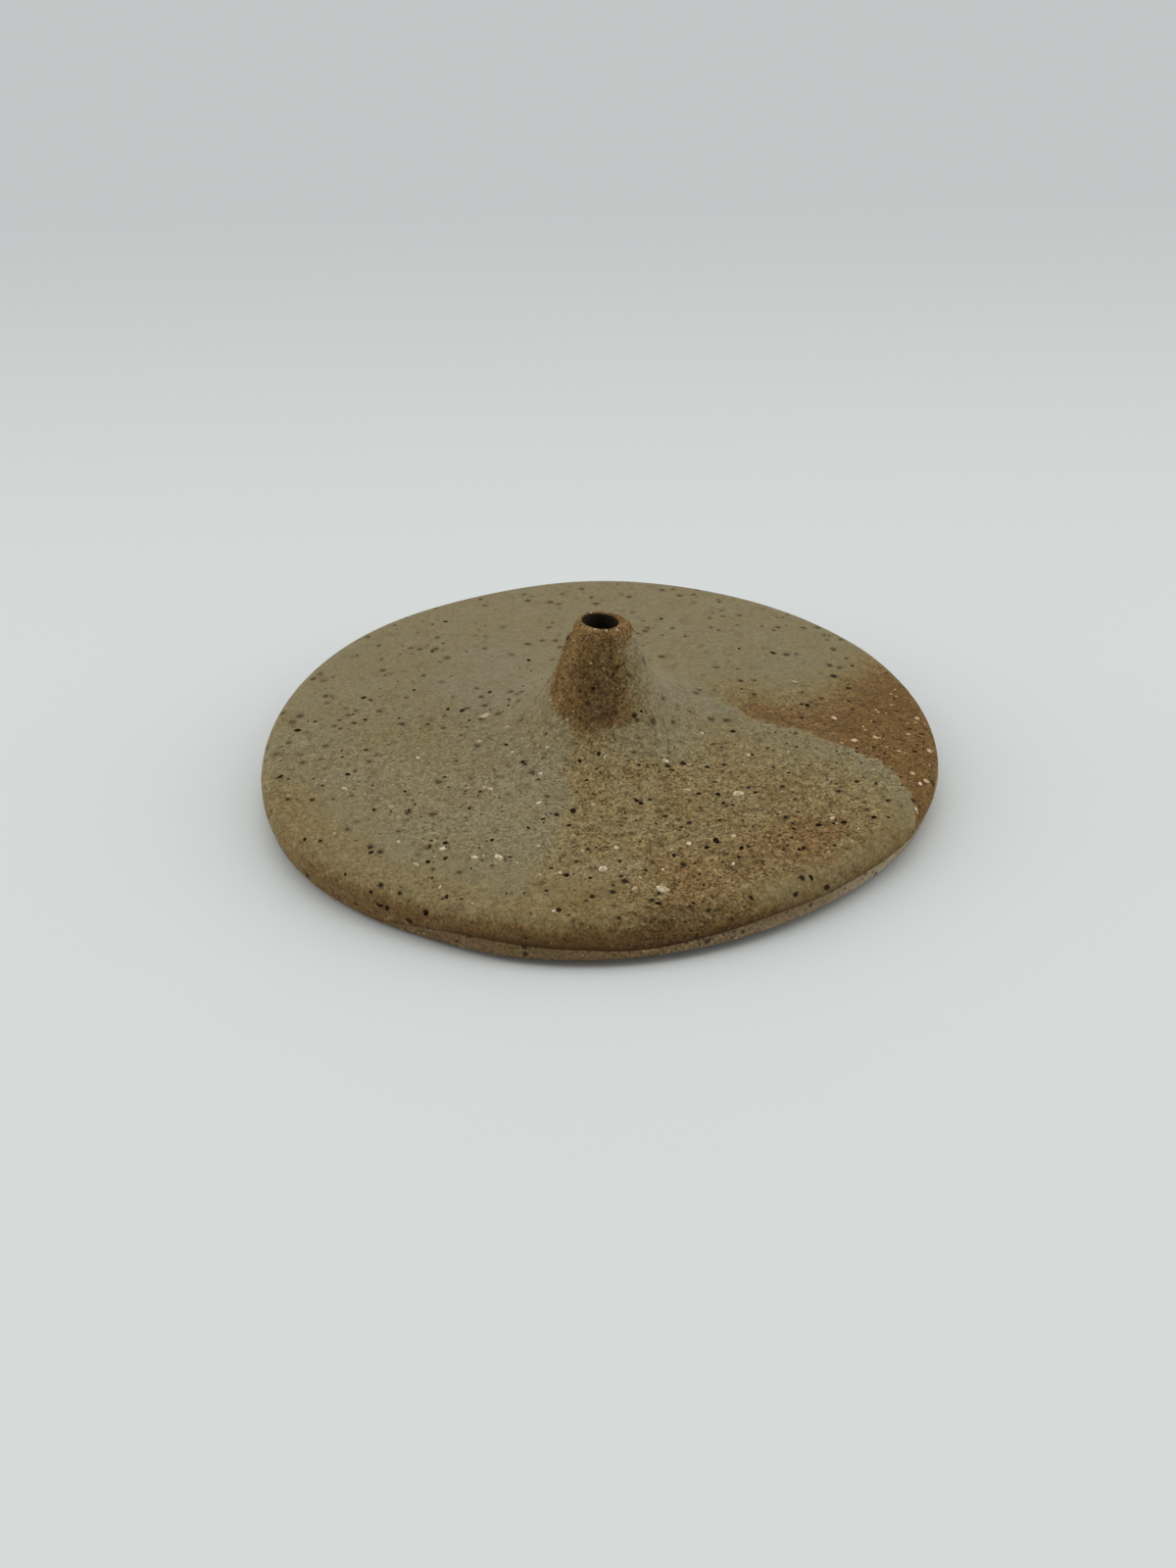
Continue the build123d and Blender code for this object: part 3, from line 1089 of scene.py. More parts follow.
@dataclass(frozen=True)
class GlazeFinish(SandyFinish):
    """Satin-matt glaze over specked clay. Its colour follows the depth painted on the piece."""

    tones: tuple[tuple[float, Shade], ...] = (
        (0.00, (111, 85, 52)),
        (0.10, (118, 94, 58)),
        (0.18, (123, 105, 70)),
        (0.26, (126, 112, 78)),
        (0.36, (126, 115, 85)),
        (0.48, (127, 119, 95)),
        (0.60, (131, 125, 104)),
    )
    browns: tuple[Shade, Shade] = ((99, 75, 45), (111, 86, 54))  # of the clay where the glaze thins out
    iron: Shade = (22, 17, 14)
    covered_iron: Shade = (64, 51, 33)  # iron under thick glaze
    fleck: Shade = (66, 46, 26)
    grit: Shade = (190, 172, 134)
    # dark brown of the glaze's edge line, partly a painted shadow under its rolled edge; also painted shade
    # on the front rim's side and the spout's front
    edge: Shade = (58, 40, 21)
    freckle: Shade = (106, 86, 56)
    relief: float = 0.018
    clouding: float = 0.26  # how far the clouds change the depth that is seen
    warmth: float = 0.16  # how far the grain does
    veil_depths: Point = (0.15, 0.45)  # depths between which the glaze veils the grain
    veil_shares: Point = (1.0, 0.6)  # of the grain that shows there
    fraying: float = 0.25  # how far the grain frays the glaze's thin edge
    fray_depth: float = 0.06  # from which the edge is frayed in full
    cover_depth: float = 0.12  # from which the clay is covered
    freckle_size: float = 2.6
    freckle_range: Point = (0.08, 0.24)  # clouding between which freckles set in
    freckle_share: float = 0.35
    fleck_share: float = 0.75
    iron_depths: Point = (0.26, 0.40)  # depths between which the glaze covers the iron
    halo_shares: Point = (0.4, 0.5)  # of the iron's halo that show there
    core_shares: Point = (0.9, 0.65)  # of its core that show there
    grit_share: float = 0.45
    edge_share: float = 0.85

    def surface(self, board: FinishBoard) -> tuple[Socket, Socket, Socket]:
        """Builds the glaze: its ground, the grain, the marks and the dark edge line with its painted shade.

        Args:
            board: Board of the material's nodes.

        Returns:
            The colour, the tone of the grain, and the fine relief in millimetres.
        """
        depth = board.painted("glaze_depth")
        grain = board.grain(GRAIN_SIZE)
        veil = board.rise(depth, self.veil_depths, self.veil_shares)
        shown = board.times(veil, board.painted("sandiness"))
        ground = self.ground(board, depth, grain["Warmth"], shown)
        toned = self.sanded(board, ground, grain["Tone"], shown)
        marked = self.marked(board, toned, depth, shown)
        # dark edge line, with painted shadow under the rolled edge and painted shade on the front rim and
        # the spout
        edge = board.times(board.painted("glaze_edge"), self.edge_share)
        return board.stain(edge, marked, self.edge), grain["Tone"], board.times(grain["Height"], self.relief)

    def ground(self, board: FinishBoard, depth: Socket, warmth: Socket, shown: Socket) -> Socket:
        """Colour of the glaze by its depth, thinning out to the clay's brown, with soft freckles.

        Args:
            board: Board of the material's nodes.
            depth: Depth of the glaze.
            warmth: Warmth of the grain, about 0.
            shown: How strongly the grain shows.

        Returns:
            The colour.
        """
        frayed = board.times(warmth, self.fraying, board.rise(depth, (0.0, self.fray_depth)))
        laid = board.rise(board.maths("ADD", depth, frayed), (0.0, self.cover_depth))
        cloudy = board.maths("MULTIPLY_ADD", board.cloud(CLOUD_SIZE), self.clouding, depth)
        seen_depth = board.maths("ADD", cloudy, board.times(warmth, shown, self.warmth))
        thickest = self.tones[-1][0]
        ramp = board.node("ShaderNodeValToRGB", {0: board.maths("DIVIDE", seen_depth, thickest)})
        stops = ramp.color_ramp.elements
        while len(stops) < len(self.tones):
            stops.new(0.5)
        for stop, (at, tone) in zip(stops, self.tones):
            stop.position = at / thickest
            stop.color = linear_colour(*tone)
        coat = board.mix(laid, self.toasted_clay(board), ramp.outputs[0])
        freckles = board.rise(board.cloud(self.freckle_size), self.freckle_range, (0.0, self.freckle_share))
        return board.stain(freckles, coat, self.freckle)

    def marked(self, board: FinishBoard, ground: Socket, depth: Socket, shown: Socket) -> Socket:
        """Lays flecks, iron specks with their halos and pale grit over a ground.

        Args:
            board: Board of the material's nodes.
            ground: Colour of the ground.
            depth: Depth of the glaze, which covers the iron.
            shown: How strongly the grain shows.

        Returns:
            The colour.
        """
        flecks, specks, pale = (board.marks(kind) for kind in (FLECKS, SPECKS, PALE_FLECKS))
        flecked = board.stain(board.times(flecks["Core"], shown, self.fleck_share), ground, self.fleck)
        covered = board.rise(depth, self.iron_depths)
        halo = board.stain(covered, linear_colour(*self.fleck), self.covered_iron)
        blur = board.times(specks["Halo"], board.rise(depth, self.iron_depths, self.halo_shares))
        haloed = board.mix(blur, flecked, halo)
        iron = board.stain(covered, linear_colour(*self.iron), self.covered_iron)
        sharp = board.times(specks["Core"], board.rise(depth, self.iron_depths, self.core_shares))
        speckled = board.mix(sharp, haloed, iron)
        return board.stain(board.times(pale["Core"], shown, self.grit_share), speckled, self.grit)


@dataclass(frozen=True)
class ClayFinish(SandyFinish):
    """Bare fired stoneware, rough and gritty, toasted brown on top and paler below the glaze."""

    flash: Shade = (131, 105, 69)  # where the flame toasted it orange
    flashing: Point = (1.0, 2.0)  # toasting between which it does
    pale: Shade = (155, 140, 114)
    # colour of the sooty bore, also laid as painted shade on the spout's front
    soot: Shade = (52, 46, 34)
    iron: Shade = (30, 22, 15)
    fleck: Shade = (52, 38, 22)
    grit: Shade = (206, 180, 138)
    fleck_share: float = 0.55
    iron_share: float = 0.7
    grit_share: float = 0.8
    grit_relief: float = 0.05

    def surface(self, board: FinishBoard) -> tuple[Socket, Socket, Socket]:
        """Builds the clay: its toasting with any painted highlight, the grain, the marks, and the sooty
        stain with any painted shade.

        Args:
            board: Board of the material's nodes.

        Returns:
            The colour, the tone of the grain, and the fine relief in millimetres.
        """
        toasting = board.painted("toasting")
        grain = board.grain(GRAIN_SIZE)
        plain = board.mix(toasting, linear_colour(*self.pale), self.toasted_clay(board))
        ground = board.stain(board.rise(toasting, self.flashing), plain, self.flash)
        colour = self.sanded(board, ground, grain["Tone"], board.painted("sandiness"))
        flecks, specks, pale = (board.marks(kind)["Core"] for kind in (FLECKS, SPECKS, PALE_FLECKS))
        for cores, share, shade in (
            (flecks, self.fleck_share, self.fleck),
            (specks, self.iron_share, self.iron),
            (pale, self.grit_share, self.grit),
        ):
            colour = board.stain(board.times(cores, share), colour, shade)
        # sooty stain in the bore, and painted shade on the spout's front
        sooted = board.stain(board.painted("soot"), colour, self.soot)
        sand = board.times(grain["Height"], self.relief)
        return sooted, grain["Tone"], board.maths("MULTIPLY_ADD", pale, self.grit_relief, sand)


@dataclass(frozen=True)
class GrainFinish(Finish):
    """Single grains that sit in the surface, mottled from pale to dark within one colour."""

    roughness_swing: float = 0.2
    relief: float = 0.02
    pale: Shade = (210, 197, 170)
    dark: Shade = (166, 147, 115)
    mottle_size: float = 0.5
    mottle_range: Point = (-0.3, 0.3)  # tones between which dark turns into pale

    def surface(self, board: FinishBoard) -> tuple[Socket, Socket, Socket]:
        """Builds the mottled grain.

        Args:
            board: Board of the material's nodes.

        Returns:
            The colour, the tone of the grain, and the fine relief in millimetres.
        """
        grain = board.grain(self.mottle_size)
        share = board.rise(grain["Tone"], self.mottle_range)
        colour = board.stain(share, linear_colour(*self.dark), self.pale)
        return colour, grain["Tone"], board.times(grain["Height"], self.relief)


@dataclass
class TurnedClay(ABC):
    """A piece of bare clay that is turned from a section and shaped by hand."""

    section: ClaySection
    hand: HandWork
    name: str = ""
    node: str = ""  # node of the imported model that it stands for
    steps: int = 360  # round the axis
    crease: float = 50.0  # edges sharper than this stay sharp

    @abstractmethod
    def chain(self) -> list[Point]:
        """Points of the section in order."""

    @abstractmethod
    def looks(self, spots: Spots) -> dict[str, Array]:
        """Values that the finish reads, by name.

        Args:
            spots: Places on the clay.

        Returns:
            Toasting, sooty stain and sandiness at each place, with painted highlight and shade where a piece
            has them.
        """

    def build(self, clay: Material) -> Piece:
        """Turns the piece, shapes it by hand and dresses it.

        Args:
            clay: Finish of the bare clay.

        Returns:
            The finished piece.
        """
        piece = Workbench.turn(self.name, self.chain(), self.steps)
        spots = Spots(*Workbench.points(piece).T)
        for layer, values in self.looks(spots).items():
            Workbench.paint(piece, layer, values)
        Workbench.move(piece, self.hand.shape(spots, self.section))
        return Workbench.dress(piece, self.crease, clay, "stoneware_clay", self.node)


@dataclass
class ClayDisc(TurnedClay):
    """The clay disc, with its bevel, rounded rim, scored bed and the blind end of the stick hole."""

    name: str = "clay_disc"
    node: str = "base_disc"
    crease: float = 40.0
    pale_bevel: tuple[Point, ...] = (  # toasting of the bevel, by the turn
        (-180.0, 0.75), (-130.0, 0.8), (-110.0, 0.77), (-85.0, 0.75), (-65.0, 0.57),
        (-56.0, 0.5), (-49.0, 0.3), (-42.0, 0.0), (-33.0, 0.0), (-27.0, 0.15),
        (-12.0, 0.5), (0.0, 0.59), (20.0, 0.7), (180.0, 0.75),
    )
    pale_end: Point = (-0.5, 0.3)  # heights about the glaze line between which the pale bevel ends
    pale_climb: float = 1.8  # how far the pale clay climbs the rim at the bare wedge
    pale_climb_turn: Point = (-10.0, 15.0)  # middle and width of that climb
    wedge_tip: Point = (20.0, 37.0)  # distances between which the bare wedge gets browner
    tip_paler: float = 0.15
    underside_toasting: float = 0.6
    underside_top: float = 0.05
    soot_wall: float = 0.1
    soot_rise: Point = (1.0, 3.0)  # heights in the hole between which the soot sets in

    def chain(self) -> list[Point]:
        """Section of the disc, from the middle of its underside round to the hole's floor.

        Returns:
            The points in order.
        """
        s = self.section
        bevel = math.radians(s.bevel_angle)
        foot_in = (s.foot_radius - s.foot_easing, 0.0)
        foot_up = (s.foot_radius + s.foot_easing * math.sin(bevel), s.foot_easing * math.cos(bevel))
        rim = s.rim(count=16)
        bed_outer = (s.coil_radius, s.bed_height(s.coil_radius))
        top_end = (s.coil_radius, bed_outer[1] + s.score_depth)
        hole_floor = s.seat_floor - s.hole_below_seat
        return [
            *line_points((0.0, 0.0), foot_in, count=24),
            *line_points(foot_up, s.glaze_line, count=6),
            *rim[1:],
            *line_points(rim[-1], top_end, count=44)[1:],
            bed_outer,
            (s.seat_radius, s.bed_height(s.seat_radius)),
            (s.seat_radius, s.seat_floor),
            (s.bore_radius, s.seat_floor),
            (s.bore_radius, hole_floor),
            (0.0, hole_floor),
        ]

    def looks(self, spots: Spots) -> dict[str, Array]:
        """Pale bevel and underside, brown top, and a sooty hole.

        Args:
            spots: Places on the clay.

        Returns:
            Toasting, soot and sandiness at each place.
        """
        below = along(self.pale_bevel, spots.turn)
        line = self.section.glaze_line[1] + self.pale_climb * hump(spots.turn, *self.pale_climb_turn)
        toasting = below + (1 - below) * ease(spots.z - line, *self.pale_end)
        toasting = toasting * (1 - self.tip_paler * (1 - ease(spots.radius, *self.wedge_tip)))
        in_hole = spots.radius < self.section.bore_radius + self.soot_wall
        return {
            "toasting": np.where(spots.z < self.underside_top, self.underside_toasting, toasting),
            "soot": in_hole * ease(spots.z, *self.soot_rise),
            "sandiness": self.hand.sandiness(spots),
        }


@dataclass
class ClaySpout(TurnedClay):
    """The hollow spout with its rounded lip, down to its foot in the seat."""

    name: str = "clay_spout"
    node: str = "spout"
    steps: int = 180
    soot_wall: Point = (0.02, 0.25)  # distances from the bore between which the soot ends
    soot_top: Point = (-0.12, 0.05)  # heights from the lip between which it ends
    front_shade_top: Point = (-4.5, -2.0)  # of the painted shade on the outside, from the lip
    lip_highlight_top: Point = (-2.2, -0.9)  # of the painted highlight on the lip's front, from the lip
    lip_highlight_towards: float = -75.0
    lip_highlight_turn: Point = (0.0, 0.9)  # cosines of the turn from there between which it sets in
    lip_highlight_toasting: float = 0.5
    left_side: Point = (0.2, 0.9)  # cosines of the turn from the left between which its toasting sets in
    left_toasting: float = 0.45
    front_turn: Point = (-80.0, 30.0)  # middle and width of the paler front
    front_paler: float = 0.1

    def chain(self) -> list[Point]:
        """Section of the spout as a ring, from its foot up the bore, over the lip and down the outside.

        Returns:
            The points in order.
        """
        s = self.section
        lip_radius, lip = s.lip_corner
        set_back = s.lip_rounding * math.tan(math.radians(90 - s.cone_angle) / 2)
        outer_centre = (lip_radius - set_back, lip - s.lip_rounding)
        inner_centre = (s.bore_radius + s.mouth_rounding, lip - s.mouth_rounding)
        outer = arc_points(outer_centre, s.lip_rounding, 90, s.cone_angle, count=10)
        flare = s.flare(s.flare_ends[0], s.spout_edge_angle, count=14)
        foot_inner = (s.bore_radius, s.spout_foot)
        return [
            *line_points(foot_inner, (s.bore_radius, lip - s.mouth_rounding), count=40),
            *arc_points(inner_centre, s.mouth_rounding, 180, 90, count=4)[1:],
            *outer,
            *line_points(outer[-1], s.flare_top, count=16)[1:],
            *flare[1:],
            (s.spout_edge_radius, s.spout_foot),
            foot_inner,
        ]

    def looks(self, spots: Spots) -> dict[str, Array]:
        """Brown side, more toasted at the left and, as a painted highlight, at the lip's front; a sooty
        bore, and painted shade on the front.

        Args:
            spots: Places on the clay.

        Returns:
            Toasting with the painted highlight at the lip, sooty stain with painted shade on the front, and
            sandiness at each place.
        """
        radius, turn = spots.radius, spots.turn
        from_lip = spots.z - self.section.lip_height
        inside = 1 - ease(radius - self.section.bore_radius, *self.soot_wall)
        soot = inside * (1 - ease(from_lip, *self.soot_top))
        front_shade = self.hand.front_shade(spots) * (1 - ease(from_lip, *self.front_shade_top))
        # painted highlight: the lip's front is toasted lighter where its rounding catches the light
        facing = np.cos(np.radians(turn - self.lip_highlight_towards))
        lip_highlight = ease(facing, *self.lip_highlight_turn) * ease(from_lip, *self.lip_highlight_top)
        front = hump(turn, *self.front_turn) * (1 - lip_highlight)
        left = ease(-spots.x / radius, *self.left_side)
        toasting = 1.0 + self.lip_highlight_toasting * lip_highlight + self.left_toasting * left - self.front_paler * front
        return {
            "toasting": toasting,
            # the sooty bore, and painted shade on the spout's front
            "soot": np.maximum(soot, front_shade),
            "sandiness": np.full_like(radius, self.hand.spout_sandiness),
        }


@dataclass
class ClayCoil(TurnedClay):
    """The coil of clay that is blended round the joint and carries the flare out to the disc's top."""

    name: str = "clay_coil"
    node: str = "joint_coil"
    steps: int = 240

    def chain(self) -> list[Point]:
        """Section of the coil as a ring, from the seam down the flare and back over the bed.

        Returns:
            The points in order.
        """
        s = self.section
        flare = s.flare(s.spout_edge_angle, s.flare_ends[1], count=20)
        bed = [(radius, s.bed_height(radius)) for radius in (s.coil_radius, s.spout_edge_radius)]
        return [*flare, *bed, flare[0]]

    def looks(self, spots: Spots) -> dict[str, Array]:
        """Plain brown all over, without sooty stain."""
        values = {"toasting": 1.0, "soot": 0.0, "sandiness": self.hand.coil_sandiness}
        return {layer: np.full_like(spots.x, value) for layer, value in values.items()}


@dataclass(frozen=True)
class LaidSheet(Spots):
    """Where the vertices of a sheet of glaze lie on the true-turned clay."""

    length: Array  # along the skin
    glaze_line: Array  # lengths at which the glaze starts
    lip_end: Array  # lengths at which it ends near the lip
    from_wedge: Array  # distances from the pour's edge at the bare wedge


@dataclass
class GlazeSheet:
    """One pour of glaze: a sheet laid over the clay from the rim's side to the lip, of uneven thickness."""

    pour: Pour
    section: ClaySection
    hand: HandWork
    lines: PourLines
    depth: GlazeDepth
    columns: int
    wedge_opens: Point  # distances between which the bare wedge opens
    wedge_fade: Point  # distances from the wedge's edge between which the glaze gets its depth
    wedge_bead: float  # share of a rolled bead that the wedge's edge has
    rows: int = 124
    crowding: float = 0.8  # how much the mesh narrows towards the edges
    crease: float = 50.0  # edges sharper than this stay sharp
    full_thickness: float = 0.6
    least: float = 0.03  # thickness where it is thinnest
    roll_width: float = 0.5  # rounded edge at the glaze line and at the front of the wedge
    roll: float = 0.12
    gap_opens: Point = (18.5, 20.5)  # distances between which it thins out at the wedge
    gap_width: float = 2.4
    line_waves: tuple[Wave, ...] = ((0.22, 4, 0.4), (0.14, 9, 0.0), (0.08, 23, 1.0))  # of the glaze line
    front_run: float = 1.2  # how far the glaze runs down at the front
    front_run_turn: Point = (279.0, 13.0)  # middle and width of that run
    left_run: float = 2.3  # how far it runs down at the left
    left_run_rise: Point = (130.0, 175.0)  # by the turn
    left_run_fall: Point = (229.0, 248.0)  # by the turn
    edge_width: tuple[Point, ...] = (  # width of the dark line at the glaze line, by the turn; at the front it widens over the rim's side as painted shade
        (0.0, 0.6), (180.0, 0.4), (225.0, 0.4), (250.0, 1.0), (282.0, 1.15),
        (300.0, 0.9), (322.0, 0.9), (335.0, 0.6), (360.0, 0.6),
    )
    edge_strength: tuple[Point, ...] = (
        (0.0, 0.8), (120.0, 0.8), (180.0, 0.3), (235.0, 0.3), (255.0, 0.9), (282.0, 1.0), (360.0, 0.8),
    )
    stain_share: float = 0.5  # of a dark run on the rim
    stain_turn: Point = (281.5, 8.5)  # its middle and width round the rim
    stain_length: Point = (3.3, 1.8)  # its middle and width along the skin
    # painted shade on the spout's front, laid into the dark edge colour where the glaze is missing
    front_shade_strength: float = 2.0
    lip_bare: float = 0.7  # length of skin next to the lip's corner that has no glaze
    lip_waves: tuple[Wave, ...] = ((0.25, 3, 1.0),)
    lip_fade: float = 2.0
    lip_left: float = 0.25  # share of the depth that is left where the glaze ends near the lip

    def glaze_line_at(self, turn: Array) -> Array:
        """Length along the skin at which the glaze starts, which wanders round the rim.

        Args:
            turn: Turns from +X in radians.

        Returns:
            Length at each turn.
        """
        around = np.degrees(turn) % 360
        front_run = self.front_run * hump(around, *self.front_run_turn)
        left_run = self.left_run * plateau(around, self.left_run_rise, self.left_run_fall)
        return waves(self.line_waves, turn) - front_run - left_run

    def lay(self, flat: Array) -> LaidSheet:
        """Lays the vertices of a flat grid over the clay.

        Args:
            flat: Rows of two shares from 0 to 1, round the pour and up the skin.

        Returns:
            Where the vertices lie.
        """
        share_round, share_up = (flat - self.crowding * np.sin(2 * math.pi * flat) / (2 * math.pi)).T
        skin = self.section.skin()
        start, end = self.lines.edges(self.pour, np.full(1, self.section.rim_radius))
        rough_turn = np.radians(start[0] + (end[0] - start[0]) * share_round)
        glaze_line = self.glaze_line_at(rough_turn)
        lip_end = skin.end - self.lip_bare + waves(self.lip_waves, rough_turn)
        length = glaze_line + (lip_end - glaze_line) * share_up
        radius, height = skin.point(length)
        first, last = self.lines.edges(self.pour, radius)
        turn = np.radians(first + (last - first) * share_round)
        from_wedge = np.radians(last) - turn if self.pour is Pour.FRONT else turn - np.radians(first)
        x, y = radius * np.cos(turn), radius * np.sin(turn)
        return LaidSheet(x, y, height, length, glaze_line, lip_end, radius * from_wedge)

    def depths(self, laid: LaidSheet) -> Array:
        """Depth that colours the glaze, with its edges.

        Args:
            laid: Where the vertices lie.

        Returns:
            Depth at each vertex.
        """
        rim_side = 1 - ease(laid.length, *self.depth.rim_roll)
        rim_left = along(self.depth.rim_left, laid.full_turn)
        wedge_open = ease(laid.radius, *self.wedge_opens)
        wedge_rise = ease(laid.from_wedge, *self.wedge_fade)
        lip_rise = ease(laid.lip_end - laid.length, 0.0, self.lip_fade)
        depth = self.depth.at(laid, self.lines)
        depth = depth * (1 - (1 - rim_left) * rim_side)
        depth = depth * (1 - wedge_open * (1 - wedge_rise))
        depth = depth * (1 - self.depth.bare(laid))
        return depth * (self.lip_left + (1 - self.lip_left) * lip_rise)

    def thicknesses(self, laid: LaidSheet, depth: Array) -> Array:
        """Thickness of the sheet, with a rolled bead at its edges.

        Args:
            laid: Where the vertices lie.
            depth: Depth of the glaze at each vertex.

        Returns:
            Thickness at each vertex.
        """
        past_line = laid.length - laid.glaze_line
        wedge_share = self.wedge_bead * ease(laid.radius, *self.wedge_opens)
        bead = hump(past_line, self.roll_width, self.roll_width)
        bead = bead + wedge_share * hump(laid.from_wedge, self.roll_width, self.roll_width)
        rolled = np.sqrt(ease(past_line, 0.0, self.roll_width))
        gap = ease(laid.radius, *self.gap_opens) * (1 - ease(laid.from_wedge, 0.0, self.gap_width))
        return np.maximum((depth + self.roll * bead) * rolled * (1 - gap), self.least)

    def dark_edge_and_shade(self, laid: LaidSheet) -> Array:
        """Share of dark colour: at the glaze line, partly a painted shadow under the rolled edge; in a run
        on the rim; and painted shade on the spout's front.

        Args:
            laid: Where the vertices lie.

        Returns:
            Share at each vertex.
        """
        turn = laid.full_turn
        line = hump(laid.length, laid.glaze_line, along(self.edge_width, turn))
        line = line * along(self.edge_strength, turn)
        run = self.stain_share * hump(turn, *self.stain_turn) * hump(laid.length, *self.stain_length)
        front_shade = self.front_shade_strength * self.hand.front_shade(laid) * self.depth.bare(laid)
        return np.maximum(np.maximum(line, run), front_shade)

    def sandiness(self, laid: LaidSheet) -> Array:
        """How strongly the grain shows at each vertex, as on the spout where the glaze is missing."""
        share = self.hand.sandiness(laid)
        return share + (self.hand.spout_sandiness - share) * self.depth.bare(laid)

    def build(self, name: str, glaze: Material, slot: str) -> Piece:
        """Lays the sheet, gives it its thickness and dresses it.

        Args:
            name: Name of the piece.
            glaze: Finish of the glaze.
            slot: The record's material slot.

        Returns:
            The finished piece.
        """
        Workbench.clear_selection()
        bpy.ops.mesh.primitive_grid_add(x_subdivisions=self.columns, y_subdivisions=self.rows, size=1.0)
        piece = Workbench.label(name)
        laid = self.lay(Workbench.points(piece)[:, :2] * MM + 0.5)  # the grid is a metre wide about the axis
        Workbench.move(piece, self.hand.shape(laid, self.section))
        depth = self.depths(laid)
        Workbench.paint(piece, "glaze_depth", depth)
        Workbench.paint(piece, "glaze_edge", self.dark_edge_and_shade(laid))
        Workbench.paint(piece, "sandiness", self.sandiness(laid))
        weights = piece.vertex_groups.new(name="thickness")
        for index, value in enumerate(self.thicknesses(laid, depth) / self.full_thickness):
            weights.add([index], float(min(value, 1.0)), "REPLACE")
        Workbench.edit_all(bpy.ops.mesh.normals_make_consistent, inside=False)
        if sum(face.normal.z * face.area for face in piece.data.polygons) <= 0:
            Workbench.edit_all(bpy.ops.mesh.flip_normals)
        solid = piece.modifiers.new("Thickness", "SOLIDIFY")
        solid.thickness = self.full_thickness * MM
        solid.offset = 1.0
        solid.vertex_group = weights.name
        bpy.ops.object.modifier_apply(modifier=solid.name)
        piece.vertex_groups.clear()
        return Workbench.dress(piece, self.crease, glaze, slot, self.pour.value)


@dataclass
class Grains:
    """Grains of one kind that sit in the holder's surface, some at chosen places and the rest scattered."""

    name: str
    section: ClaySection
    hand: HandWork
    chosen: tuple[Place, ...]  # where they are seen on the finished holder
    scattered: int
    widths: Point  # least and greatest width of the scattered ones
    flatness: float  # height for a width of 1
    proud: float  # share of the grain's height that stands out of the surface
    seed: int
    spread: Point = (-180.0, 180.0)  # turns between which grains are scattered
    outermost: float = 43.0
    inner_share: float = 0.06  # of the disc's area, in the middle, that has no scattered grains
    smallness: float = 2.5  # the higher it is, the more of the scattered ones are small
    long_range: Point = (0.9, 1.15)  # length for a width of 1
    broad_range: Point = (0.6, 0.85)  # breadth for a width of 1
    jitter: float = 0.06  # how far a grain's corners are off
    crease: float = 60.0  # edges sharper than this stay sharp
    feeler: float = 3.0  # distance from which the surface is felt for

    def places(self) -> list[Place]:
        """Chosen grains and then scattered ones, on the true-turned clay.

        Returns:
            Places and widths in order.
        """
        draw = random.Random(self.seed)
        grains = [(*self.hand.turned_place(x, y), width) for x, y, width in self.chosen]
        low, high = self.widths
        for _ in range(self.scattered):
            radius = self.outermost * math.sqrt(draw.uniform(self.inner_share, 1.0))
            turn = math.radians(draw.uniform(*self.spread))
            width = low + (high - low) * draw.random() ** self.smallness
            grains.append((radius * math.cos(turn), radius * math.sin(turn), width))
        return grains

    def seat(self, x: float, y: float, skin: Skin, surface: list[Piece]) -> tuple[Vector, Vector]:
        """Finds the outermost surface at a place on the true-turned clay.

        Args:
            x: Place across the holder.
            y: Place from front to back.
            skin: Outer line of the clay.
            surface: Clay and glaze that the grains lie in.

        Returns:
            The spot in millimetres and the direction in which the surface faces there.
        """
        radius, turn = math.hypot(x, y), math.atan2(y, x)
        length = float(skin.length_at(radius))
        out, up = skin.normal(length)
        turned_true = Spots(*np.array([[x], [y], [skin.point(length)[1]]]))
        spot = Vector(self.hand.shape(turned_true, self.section)[0])
        facing = Vector((out * math.cos(turn), out * math.sin(turn), up))
        start = (spot + facing * self.feeler) * MM
        felt = [piece.ray_cast(start, -facing) for piece in surface]
        touched = [(place, normal) for found, place, normal, _ in felt if found]
        if not touched:
            return spot, facing
        place, normal = min(touched, key=lambda touch: (touch[0] - start).length)
        return place / MM, normal

    def build(self, finish: Material, slot: str, surface: list[Piece]) -> Piece:
        """Sets the grains one by one into one piece and dresses it.

        Args:
            finish: Finish of the grains.
            slot: The record's material slot.
            surface: Clay and glaze that the grains lie in.

        Returns:
            The finished piece.
        """
        draw = random.Random(self.seed + 1)
        skin = self.section.skin()
        Workbench.clear_selection()
        bpy.context.view_layer.update()
        grains = [(*self.seat(x, y, skin, surface), width) for x, y, width in self.places()]
        for number, (spot, normal, width) in enumerate(grains):
            thick = width * self.flatness
            centre = spot + normal * thick * (self.proud - 0.5)
            spin = Matrix.Rotation(draw.uniform(0, 2 * math.pi), 4, "Z")
            tilt = (normal.to_track_quat("Z", "Y").to_matrix().to_4x4() @ spin).to_euler()
            long, broad = (width * draw.uniform(*reach) for reach in (self.long_range, self.broad_range))
            if number == 1:
                bpy.ops.object.mode_set(mode="EDIT")
            bpy.ops.mesh.primitive_ico_sphere_add(
                subdivisions=1,
                radius=0.5 * MM,
                location=centre * MM,
                rotation=tilt,
                scale=(long, broad, thick),
            )
            if number == 0:
                bpy.ops.object.transform_apply(location=True, rotation=True, scale=True)
        bpy.ops.object.mode_set(mode="OBJECT")
        piece = Workbench.label(self.name)
        moves = [draw.uniform(-self.jitter, self.jitter) for _ in range(len(piece.data.vertices) * 3)]
        Workbench.move(piece, Workbench.points(piece) + np.array(moves).reshape(-1, 3))
        return Workbench.dress(piece, self.crease, finish, slot)


